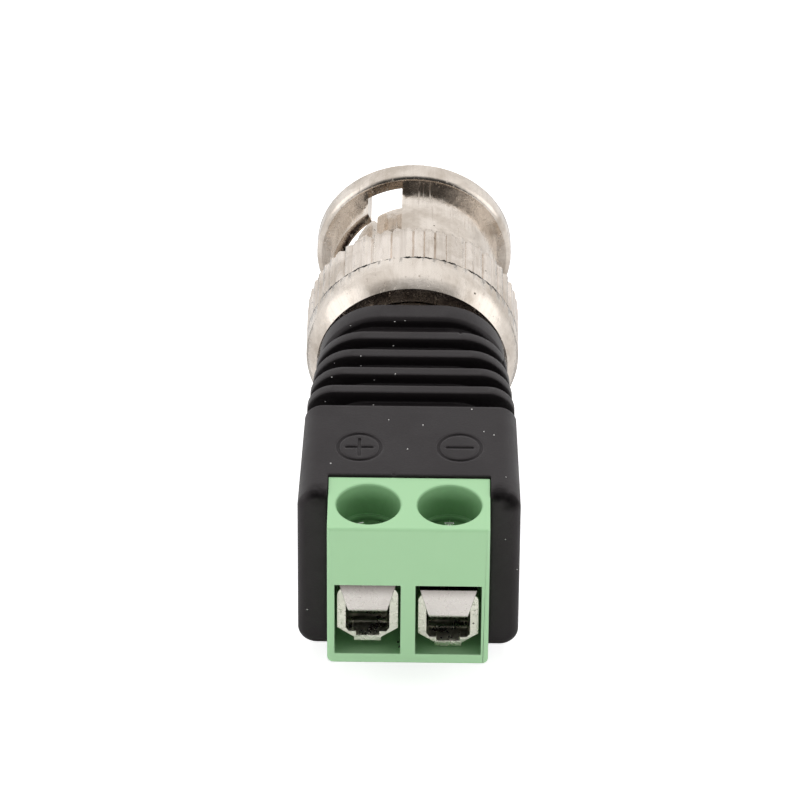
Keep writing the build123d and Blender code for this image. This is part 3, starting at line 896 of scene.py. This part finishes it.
def swept_outline(path: np.ndarray, lateral: np.ndarray, outline: np.ndarray, closed: bool) -> Surface:
    """Carries a flat outline along a path that lies level.

    Each point is the path's point plus the outline's first value along the level lateral direction
    and its second value along Z.

    Args:
        path: Points along the path, one a row.
        lateral: The sideways direction at each path point.
        outline: The outline's points as (sideways, up).
        closed: Whether the path's end joins its start.

    Returns:
        The surface's points and faces.
    """
    upward = np.array((0.0, 0.0, 1.0))
    points = (
        path[:, None, :]
        + lateral[:, None, :] * outline[None, :, 0, None]
        + upward * outline[None, :, 1, None]
    )
    return points, grid_faces(len(path), len(outline), closed, True)


@dataclass
class PolarityMark:
    """A ring with a plus or a minus in it, engraved in the top of the shell."""

    pole: Pole
    centre_x: float
    centre_y: float
    ring_radius: float = 1.36
    line_width: float = 0.24
    line_depth: float = 0.14
    line_power: float = 0.5
    line_steps: int = 15
    bar_length: float = 1.85
    stem_length: float = 1.9
    above: float = 0.1
    ring_steps: int = 96
    end_steps: int = 9

    def outline(self) -> np.ndarray:
        """The groove's cross-section: a flat-bottomed trough with round corners, open at the top.

        The trough is half a superellipse: sideways goes with the cosine and down with the sine,
        each to a power under one.

        Returns:
            Points as (sideways, up), in metres.
        """
        half = 0.5 * self.line_width
        turn = np.linspace(math.pi, math.tau, self.line_steps)
        side = half * np.sign(np.cos(turn)) * np.abs(np.cos(turn)) ** self.line_power
        fall = -self.line_depth * np.abs(np.sin(turn)) ** self.line_power
        mouth = ((half, self.above), (-half, self.above))
        return np.concatenate((np.column_stack((side, fall)), mouth)) * MM

    def centre(self, top_z: float) -> np.ndarray:
        """The mark's middle on the shell's top, in metres."""
        return np.array((self.centre_x * MM, self.centre_y * MM, top_z))

    def ring(self, top_z: float) -> Surface:
        """The cutter of the ring: the outline carried round a circle.

        Args:
            top_z: The height of the shell's top, in metres.

        Returns:
            The surface's points and faces.
        """
        turn = np.linspace(0.0, math.tau, self.ring_steps, endpoint=False)
        outward = np.column_stack((np.cos(turn), np.sin(turn), np.zeros_like(turn)))
        path = self.centre(top_z) + outward * self.ring_radius * MM
        return swept_outline(path, outward, self.outline(), True)

    def bar(self, length: float, angle: float, top_z: float) -> Surface:
        """The cutter of a straight line with rounded ends.

        The outline's sideways size shrinks as a half circle towards each end, where it closes.

        Args:
            length: The line's length, in millimetres.
            angle: The line's direction from +X, in radians.
            top_z: The height of the shell's top, in metres.

        Returns:
            The surface's points and faces.
        """
        half_width = 0.5 * self.line_width
        turn = np.linspace(0.5 * math.pi, 0.0, self.end_steps)
        end = 0.5 * length - half_width * (1 - np.cos(turn))
        along = np.concatenate((-end[::-1], end))
        narrowing = np.concatenate((np.sin(turn[::-1]), np.sin(turn)))
        direction = np.array((math.cos(angle), math.sin(angle), 0.0))
        sideways = np.array((-math.sin(angle), math.cos(angle), 0.0))
        path = self.centre(top_z) + along[:, None] * MM * direction
        return swept_outline(path, narrowing[:, None] * sideways, self.outline(), False)

    def cutters(self, top_z: float) -> list[Surface]:
        """All grooves of the mark.

        Args:
            top_z: The height of the shell's top, in metres.

        Returns:
            One closed surface for each groove.
        """
        grooves = [self.ring(top_z), self.bar(self.bar_length, 0.0, top_z)]
        if self.pole is Pole.POSITIVE:
            grooves.append(self.bar(self.stem_length, 0.5 * math.pi, top_z))
        return grooves


@dataclass
class SoftenedCopy:
    """A copy of a CAD node whose sharp edges are broken as moulding, stamping or wear leaves them.

    The edges that turn by more than the crease, in degrees, are rounded to the width of edge.
    """

    node: str
    name: str
    body: str
    slot: str
    finish: str
    edge: float
    crease: float = 38.0
    flat: float = 0.3
    edge_faces: int = 2
    flat_weight: int = 80

    def plain_copy(self, frame: dict[str, Any]) -> bpy.types.Object:
        """Copies the node's mesh, merged and with its flat faces made whole.


        Returns:
            The copy, linked to the scene.
        """
        mesh = frame["nodes"][self.node].data.copy()
        mesh.name = self.name
        merge_points(mesh)
        work = bmesh.new()
        work.from_mesh(mesh)
        limit = math.radians(self.flat)
        bmesh.ops.dissolve_limit(work, angle_limit=limit, verts=work.verts, edges=work.edges)
        work.to_mesh(mesh)
        work.free()
        return link_object(self.name, mesh)

    def finish_copy(self, piece: bpy.types.Object, book: FinishBook) -> None:
        """Rounds the copy's sharp edges, keeps its flats flat and stands it in for the node.

        Args:
            piece: The copy.
            book: The finishes.
        """
        dress_mesh(piece.data, book.materials[self.finish])
        rounding = piece.modifiers.new("rounding", "BEVEL")
        rounding.width = self.edge * MM
        rounding.segments = self.edge_faces
        rounding.limit_method = "ANGLE"
        rounding.angle_limit = math.radians(self.crease)
        rounding.use_clamp_overlap = True
        evening = piece.modifiers.new("evening", "WEIGHTED_NORMAL")
        evening.weight = self.flat_weight
        evening.keep_sharp = False
        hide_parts(self.node)
        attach(piece, self.body)
        LOG.info("%s: %d faces before rounding", self.name, len(piece.data.polygons))

    def build(self, frame: dict[str, Any], book: FinishBook) -> bpy.types.Object:
        """Makes the copy and finishes it.

        Args:
            book: The finishes.

        Returns:
            The piece.
        """
        piece = self.plain_copy(frame)
        self.finish_copy(piece, book)
        return piece


@dataclass
class PressedWasher:
    """The wave washer, a plain copy that stands in for the node."""

    node: str = "wave_washer"
    joint: str = "nut_pull"
    travel: float = 0.5
    clearance: float = 0.01

    def build(self, frame: dict[str, Any], book: FinishBook) -> bpy.types.Object:
        """Copies the node, gives it spring steel and stands it in for the node.

        Args:
            book: The finishes.

        Returns:
            The piece.
        """
        copy = SoftenedCopy(self.node, "pressed_washer", "body", "spring_steel", "spring_steel", 0.0)
        piece = copy.plain_copy(frame)
        piece.data.materials.clear()
        piece.data.materials.append(book.materials["spring_steel"])
        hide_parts(self.node)
        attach(piece, "body")
        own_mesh(piece)
        return piece


def lump(centre: XYZ, size: XYZ, seed: int) -> Surface:
    """A small uneven ellipsoid on a grid of latitude and longitude.

    A point's reach is one plus two low waves of longitude with seeded phases, which fade towards
    the poles as the cosine of the latitude.

    Args:
        centre: Its middle, in millimetres.
        size: Its half sizes along X, Y and Z.
        seed: The seed of the phases.

    Returns:
        The surface's points and faces.
    """
    rows = 7
    columns = 10
    first_wave = 0.22
    second_wave = 0.12
    phase = np.random.default_rng(seed).uniform(0.0, math.tau, 2)
    latitude = np.linspace(-0.5 * math.pi, 0.5 * math.pi, rows)[:, None]
    longitude = np.linspace(0.0, math.tau, columns, endpoint=False)[None, :]
    waves = first_wave * np.cos(2 * longitude + phase[0]) + second_wave * np.cos(3 * longitude + phase[1])
    reach = 1 + waves * np.cos(latitude)
    x = centre[0] + size[0] * reach * np.cos(latitude) * np.cos(longitude)
    y = centre[1] + size[1] * reach * np.cos(latitude) * np.sin(longitude)
    z = centre[2] + size[2] * np.sin(latitude) + 0 * longitude
    return np.stack((x, y, z), axis=-1) * MM, grid_faces(rows, columns, False, True)


@dataclass
class EngravedShell:
    """The moulded shell with its polarity marks cut into its top and a few nicks in its edges."""

    frame: dict[str, Any]
    marks: tuple[PolarityMark, ...]
    nicks: tuple[XYZ, ...] = (
        (3.13, 1.0, 13.1),
        (5.95, 0.36, 11.08),
        (-0.98, -14.1, 13.14),
        (6.42, 0.4, 9.6),
    )
    nick_size: XYZ = (0.17, 0.2, 0.18)
    edge: float = 0.2

    def build(self, book: FinishBook) -> bpy.types.Object:
        """Copies the shell's mesh, cuts the marks and stands the copy in for the node.

        Args:
            book: The finishes.

        Returns:
            The piece.
        """
        top_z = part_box("body_shell")[1][2]
        plastic = "black_plastic"
        shell = SoftenedCopy("body_shell", "moulded_shell", "body", plastic, plastic, self.edge)
        piece = shell.plain_copy(self.frame)
        grooves = [groove for mark in self.marks for groove in mark.cutters(top_z)]
        grooves += [lump(nick, self.nick_size, seed) for seed, nick in enumerate(self.nicks)]
        cutters = []
        for number, groove in enumerate(grooves):
            name = f"cutter_{number}"
            cutter = make_piece(name, [groove], book.materials[plastic])
            cut = piece.modifiers.new(name, "BOOLEAN")
            cut.object = cutter
            cut.operation = "DIFFERENCE"
            cut.solver = "EXACT"
            cutters.append(cutter)
        evaluated = piece.evaluated_get(bpy.context.evaluated_depsgraph_get())
        engraved = bpy.data.meshes.new_from_object(evaluated)
        piece.modifiers.clear()
        piece.data = engraved
        for cutter in cutters:
            bpy.data.objects.remove(cutter)
        shell.finish_copy(piece, book)
        return piece


@dataclass
class ClampScrew:
    """A clamp screw with a cross recess and a helical thread, in place of the plain CAD one."""

    pole: Pole
    turn_degrees: float
    head_radius: float = 1.75
    head_height: float = 1.1
    head_round: float = 0.3
    head_chamfer: float = 0.08
    neck: float = 0.05
    thread_start: float = 0.01
    thread_radius: float = 1.25
    thread_depth: float = 0.24
    thread_pitch: float = 0.45
    thread_slope: float = 1.35
    thread_crest: float = 0.2
    tip_chamfer: float = 0.35
    arm_width: float = 0.62
    arm_length: float = 2.6
    wall_slope: float = 0.12
    end_slope: float = 0.45
    recess_depth: float = 0.8
    around: int = 192
    top_rings: int = 44
    round_rings: int = 9
    shank_rings: int = 140
    tip_rings: int = 8

    def recess(self, x: np.ndarray, y: np.ndarray) -> np.ndarray:
        """How deep the cross recess is below the head's top at each point.

        Each arm is a trough whose walls slope in, as wide as arm_width at the top, and it gets
        shallower towards its ends. The deeper of the two arms counts.

        Args:
            x: Places along the first arm, in millimetres.
            y: Places along the second arm.

        Returns:
            The depths.
        """
        depth = np.zeros_like(x)
        for along, aside in ((x, y), (y, x)):
            wall = np.clip((0.5 * self.arm_width - np.abs(aside)) / self.wall_slope, 0.0, 1.0)
            end = np.clip((0.5 * self.arm_length - np.abs(along)) / self.end_slope, 0.0, 1.0)
            depth = np.maximum(depth, wall * np.sqrt(end))
        return self.recess_depth * depth

    def profile(self, tip_z: float, top_z: float) -> tuple[np.ndarray, np.ndarray, np.ndarray]:
        """The screw's half outline, from the head's middle over its rim and down the shank.

        Args:
            tip_z: The height of the shank's end, in millimetres.
            top_z: The height of the head's top.

        Returns:
            The radius and the height of each ring, and whether it is one of the thread's.
        """
        flat = self.head_radius - self.head_round
        corner = np.linspace(0.0, 0.5 * math.pi, self.round_rings)
        under_z = top_z - self.head_height
        stretches = (
            (np.linspace(0.0, flat, self.top_rings, endpoint=False), top_z),
            (flat + self.head_round * np.sin(corner), top_z - self.head_round * (1 - np.cos(corner))),
            (self.head_radius, under_z + self.head_chamfer),
            (self.head_radius - self.head_chamfer, under_z),
            (self.thread_radius + self.neck, under_z),
            (self.thread_radius, under_z),
            (self.thread_radius, np.linspace(under_z - self.thread_start, tip_z, self.shank_rings)),
            (np.linspace(self.thread_radius - self.tip_chamfer, 0.0, self.tip_rings), tip_z),
        )
        rings = [np.column_stack(np.broadcast_arrays(*stretch)) for stretch in stretches]
        radius, height = np.concatenate(rings).T[:, :, None]
        return radius, height, (height < under_z) & (radius >= self.thread_radius)

    def build(self, book: FinishBook) -> bpy.types.Object:
        """Makes the screw on a grid of rings and angles.

        On the thread the radius falls by the thread's depth times a triangle wave of height and
        angle, and near the tip by at least the chamfer's height that is left.

        Args:
            book: The finishes.

        Returns:
            The piece.
        """
        node = f"clamp_screw_{self.pole.value}"
        low, high = (np.array(corner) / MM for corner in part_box(node))
        middle = 0.5 * (low + high)
        radius, height, threaded = self.profile(low[2], high[2])
        angle = np.linspace(0.0, math.tau, self.around, endpoint=False)[None, :]
        wave = np.abs(((height / self.thread_pitch + angle / math.tau) % 1.0) - 0.5) * 2
        cut = self.thread_depth * np.clip(self.thread_slope * wave - self.thread_crest, 0.0, 1.0)
        tip = np.clip(low[2] + self.tip_chamfer - height, 0.0, self.tip_chamfer)
        reach = radius - np.maximum(cut, tip) * threaded
        turned = angle + math.radians(self.turn_degrees)
        sunk = self.recess(reach * np.cos(angle), reach * np.sin(angle))
        x = middle[0] + reach * np.cos(turned)
        y = middle[1] + reach * np.sin(turned)
        z = height - np.where(height > high[2] - self.recess_depth, sunk, 0.0)
        surface = np.stack((x, y, z), axis=-1) * MM, grid_faces(len(radius), self.around, False, True)
        steel = book.materials["screw_steel"]
        piece = make_piece(f"threaded_screw_{self.pole.value}", [surface], steel)
        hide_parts(node)
        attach(piece, f"screw_{self.pole.value}")
        return piece


@dataclass
class WornKnurl:
    """The knurl's worn crowns: broad ridges with narrow grooves between, over the nut's own teeth.

    A low wave is given as its count round the knurl and its radians along it. The groove's share is
    of a tooth, and the two reaches are shares of the length.
    """

    rear_to_knurl: float = 2.6
    length: float = 3.3
    proud: float = 0.02
    core_radius: float = 6.72
    groove_depth: float = 0.12
    groove_share: float = 0.46
    depth_range: tuple[float, float] = (0.5, 1.0)
    width_range: tuple[float, float] = (0.4, 1.1)
    fading: float = 0.25
    fading_radians: float = 4.0
    wear: float = 0.03
    lean: float = 0.16
    rear_fall: float = 0.1
    rear_reach: float = 0.02
    front_fall: float = 0.12
    front_reach: float = 0.035
    fall_patches: int = 23
    fall_change: float = 0.4
    wave_height: float = 0.006
    low_waves: tuple[tuple[int, int], ...] = ((9, 5), (23, 8), (37, 11), (51, 14), (65, 17), (79, 20))
    tooth_columns: int = 14
    rows: int = 30
    crease: float = 50.0
    seed: int = 11

    def radii(self, crown: float, tooth: np.ndarray, share: np.ndarray) -> np.ndarray:
        """The worn surface's radius at each place, in millimetres.

        It is the crown's, less a groove at each tooth's edge whose depth is a raised cosine of the
        angle, less the tooth's own wear and lean, less a fall at each end that goes with the
        exponential of the distance from it, plus low waves.

        Args:
            crown: The radius of the crowns.
            tooth: Places round the knurl in teeth, as one row.
            share: Places along the knurl from 0 to 1, as one column.

        Returns:
            The radii, with a row for each place along.
        """
        random = np.random.default_rng(self.seed)
        edge = np.round(tooth).astype(int) % KNURL_TEETH
        ridge = np.floor(tooth).astype(int) % KNURL_TEETH
        width = self.groove_share * random.uniform(*self.width_range, KNURL_TEETH)[edge]
        depth = self.groove_depth * random.uniform(*self.depth_range, KNURL_TEETH)[edge]
        worn = random.uniform(0.0, self.wear, KNURL_TEETH)[ridge]
        lean = random.uniform(-self.lean, self.lean, KNURL_TEETH)[ridge] * (tooth % 1.0 - 0.5)
        phases = random.uniform(0.0, math.tau, len(self.low_waves))
        apart = np.abs(tooth - np.round(tooth))
        groove = depth * 0.5 * (1 + np.cos(np.pi * np.clip(apart / (0.5 * width), 0.0, 1.0)))
        groove = groove * (1 - self.fading + self.fading * np.cos(self.fading_radians * share + phases[1]))
        turn = math.tau * tooth / KNURL_TEETH
        falls = self.rear_fall * np.exp(-share / self.rear_reach)
        falls = falls + self.front_fall * np.exp((share - 1) / self.front_reach)
        patches = np.cos(self.fall_patches * turn + phases[0]) ** 2
        falls = falls * (1 - self.fall_change + self.fall_change * patches)
        waves = sum(
            self.wave_height * np.cos(count * turn + radians * share + phase)
            for (count, radians), phase in zip(self.low_waves, phases)
        )
        radius = crown - groove - (worn + np.abs(lean) - lean) - falls + waves
        return np.minimum(radius, crown)

    def build(self, book: FinishBook) -> bpy.types.Object:
        """Makes the band on a grid of angle and length, closed by a cylinder inside.

        Args:
            book: The finishes.

        Returns:
            The piece.
        """
        low, high = (np.array(corner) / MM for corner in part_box("coupling_nut"))
        crown = 0.5 * (high[0] - low[0]) + self.proud
        columns = KNURL_TEETH * self.tooth_columns
        tooth = np.arange(columns)[None, :] / self.tooth_columns
        share = np.linspace(0.0, 1.0, self.rows)[:, None]
        inner = np.full((1, columns), self.core_radius)
        radius = np.concatenate((inner, self.radii(crown, tooth, share), inner))
        along = low[1] + self.rear_to_knurl + self.length * np.concatenate((share[:1], share, share[-1:]))
        turn = math.tau * tooth / KNURL_TEETH
        x = radius * np.cos(turn)
        y = along + 0 * turn
        z = AXIS_HEIGHT / MM + radius * np.sin(turn)
        surface = np.stack((x, y, z), axis=-1) * MM, grid_faces(len(radius), columns, True, True)
        piece = make_piece("worn_knurl", [surface], book.materials["knurl_nickel"])
        piece.data.set_sharp_from_angle(angle=math.radians(self.crease))
        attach(piece, "nut")
        return piece


@dataclass
class Grit:
    """Dust or dark grains, each seated where it lies on the adapter."""

    name: str
    finish: str
    slot: str
    places: tuple[XYZ, ...]
    size: float
    size_range: tuple[float, float] = (0.6, 1.15)
    flatness: float = 0.6

    def build(self, book: FinishBook) -> bpy.types.Object:
        """Makes all grains as one piece of uneven flattened lumps.

        Args:
            book: The finishes.

        Returns:
            The piece.
        """
        count = len(self.places)
        sizes = self.size * np.random.default_rng(count).uniform(*self.size_range, count)
        parts = [
            lump(place, (size, size, self.flatness * size), seed)
            for seed, (place, size) in enumerate(zip(self.places, sizes))
        ]
        piece = make_piece(self.name, parts, book.materials[self.finish])
        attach(piece, "body")
        return piece


@dataclass
class Studio:
    """A white sweep, soft lamps and the camera at the photograph's angle.

    The camera's place is in millimetres. The floor and the lamps, each with its name, place, size
    and power, are in metres and watts.
    """

    camera_place: XYZ = (1.731, -318.679, 248.842)
    tilt_down: float = 37.049
    yaw: float = 0.444
    roll: float = 0.399
    lens: float = 276.019
    sensor: float = 36.0
    nearest: float = 0.01
    fill: float = 0.22
    front_sheen: float = 0.05
    back_sheen: float = 0.97
    sheen_rise: tuple[float, float] = (-0.75, 0.25)
    side_sheen: float = 1.35
    side_rise: tuple[float, float] = (0.35, 0.95)
    floor_size: float = 3.0
    floor_drop: float = 0.00002
    floor_colour: Colour = (0.93, 0.93, 0.93)
    floor_roughness: float = 0.9
    floor_glow: float = 0.75
    lamps: tuple[tuple[str, XYZ, float, float], ...] = (
        ("top_lamp", (0.0, 0.35, 0.7), 0.7, 4.4),
        ("left_lamp", (-0.6, 0.0, 0.3), 0.5, 0.94),
        ("right_lamp", (0.6, 0.0, 0.3), 0.5, 0.94),
        ("front_lamp", (0.0, -0.7, 0.12), 0.22, 1.4),
    )

    def build(self) -> None:
        """Sets the view, the world, the floor, the lamps and the camera."""
        bpy.context.scene.view_settings.view_transform = "Standard"
        self.make_camera()
        self.make_world()
        self.make_floor()
        self.make_lamps()

    def make_camera(self) -> None:
        """Places the camera by its own axes: forward, right and up, then rolls it."""
        data = bpy.data.cameras.new("camera")
        data.lens = self.lens
        data.sensor_width = self.sensor
        data.clip_start = self.nearest
        camera = link_object("camera", data)
        down = math.radians(self.tilt_down)
        side = math.radians(self.yaw)
        level = math.cos(down)
        forward = Vector((-math.sin(side) * level, math.cos(side) * level, -math.sin(down)))
        right = forward.cross(Vector((0, 0, 1))).normalized()
        axes = Matrix((right, right.cross(forward), -forward)).transposed()
        axes = axes @ Matrix.Rotation(math.radians(self.roll), 3, "Z")
        camera.matrix_world = Matrix.Translation(Vector(self.camera_place) * MM) @ axes.to_4x4()
        bpy.context.scene.camera = camera

    def make_world(self) -> None:
        """A world that is white to the eye, dimmer as a lamp, and in reflections darker in front."""
        world = bpy.data.worlds.new("world")
        world.use_nodes = True
        graph = NodeGraph(world.node_tree)
        direction = graph.add("ShaderNodeTexCoord").outputs["Generated"]
        aside, ahead, _ = graph.split(direction)
        rise = graph.ramp(ahead, *self.sheen_rise)
        sheen = graph.add("ShaderNodeMix", _0=rise, _2=self.front_sheen, _3=self.back_sheen).outputs[0]
        sides = graph.ramp(graph.math("ABSOLUTE", aside), *self.side_rise)
        sheen = graph.math("MAXIMUM", sheen, graph.math("MULTIPLY", sides, self.side_sheen))
        glossy = graph.add("ShaderNodeLightPath").outputs["Is Glossy Ray"]
        unseen = graph.add("ShaderNodeMix", _0=glossy, _2=self.fill, _3=sheen).outputs[0]
        strength = graph.add("ShaderNodeMix", _0=self.seen_directly(graph), _2=unseen, _3=1.0)
        background = world.node_tree.nodes["Background"]
        graph.feed(background, Color=(1.0, 1.0, 1.0), Strength=strength.outputs[0])
        bpy.context.scene.world = world

    @staticmethod
    def seen_directly(graph: NodeGraph) -> Socket:
        """A mask of rays that come straight from the camera or through glass."""
        path = graph.add("ShaderNodeLightPath")
        return graph.math("MAXIMUM", path.outputs["Is Camera Ray"], path.outputs["Is Transmission Ray"])

    def make_floor(self) -> None:
        """A level sheet just under the adapter that takes its shadow."""
        half = 0.5 * self.floor_size
        sides = ((-half, -half), (half, -half), (half, half), (-half, half))
        mesh = bpy.data.meshes.new("floor")
        mesh.from_pydata([(x, y, -self.floor_drop) for x, y in sides], [], [(0, 1, 2, 3)])
        material = bpy.data.materials.new("white_sweep")
        material.use_nodes = True
        graph = NodeGraph(material.node_tree)
        shader = material.node_tree.nodes["Principled BSDF"]
        glow = graph.math("MULTIPLY", self.seen_directly(graph), self.floor_glow)
        graph.feed(shader, Base_Color=self.floor_colour, Roughness=self.floor_roughness)
        graph.feed(shader, Emission_Color=(1.0, 1.0, 1.0), Emission_Strength=glow)
        mesh.materials.append(material)
        link_object("floor", mesh)

    def make_lamps(self) -> None:
        """One broad lamp above and softer ones low at the sides and in front, not mirrored."""
        for name, place, size, power in self.lamps:
            data = bpy.data.lights.new(name, "AREA")
            data.size = size
            data.energy = power
            lamp = link_object(name, data)
            lamp.location = place
            lamp.rotation_euler = (-Vector(place)).to_track_quat("-Z", "Y").to_euler()
            lamp.visible_glossy = False


@dataclass
class Adapter:
    """The dressed adapter: finishes on the CAD nodes and the pieces that CAD leaves plain."""

    frame: dict[str, Any]
    marks: tuple[PolarityMark, ...] = (
        PolarityMark(Pole.POSITIVE, -3.2, -11.3),
        PolarityMark(Pole.NEGATIVE, 3.15, -11.25),
    )
    block_edge: float = 0.06
    bar_edge: float = 0.05
    cage_edge: float = 0.06
    nut_edge: float = 0.04
    nut_crease: float = 50.0
    dust_size: float = 0.055
    grain_size: float = 0.11

    def softened_copies(self) -> list[SoftenedCopy]:
        """The copies of the block, the bars, the cages and the nut, not yet built.

        Returns:
            One for each node.
        """
        green = "green_plastic"
        copies = [SoftenedCopy("terminal_housing", "moulded_block", "body", green, green, self.block_edge)]
        metal = "clamp_metal"
        for pole in Pole:
            bar = f"current_bar_{pole.value}"
            cage = f"clamp_cage_{pole.value}"
            body = f"cage_{pole.value}"
            copies.append(SoftenedCopy(bar, f"stamped_{bar}", "body", metal, metal, self.bar_edge))
            copies.append(SoftenedCopy(cage, f"stamped_{cage}", body, metal, "cage_metal", self.cage_edge))
        nut = SoftenedCopy("coupling_nut", "plated_nut", "nut", "nickel", "nickel", self.nut_edge)
        nut.crease = self.nut_crease
        return [*copies, nut]

    def build(self) -> None:
        """Dresses the nodes and makes every added piece."""
        effects = EffectLibrary()
        effects.build()
        book = FinishBook(effects)
        book.build()
        book.dress_nodes(self.frame)
        EngravedShell(self.frame, self.marks).build(book)
        for copy in self.softened_copies():
            copy.build(self.frame, book)
        PressedWasher().build(self.frame, book)
        WornKnurl().build(book)
        Grit("dust_specks", "dust", "white_plastic", DUST_PLACES, self.dust_size).build(book)
        Grit("dark_grains", "grit", "black_plastic", GRAIN_PLACES, self.grain_size).build(book)
        ClampScrew(Pole.POSITIVE, turn_degrees=28.0).build(book)
        ClampScrew(Pole.NEGATIVE, turn_degrees=0.0).build(book)


def main() -> None:
    """Builds the studio and the adapter in order."""
    logging.basicConfig(level=logging.INFO, format="%(name)s %(message)s")
    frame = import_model()
    Studio().build()
    Adapter(frame).build()


if __name__ == "__main__":
    main()
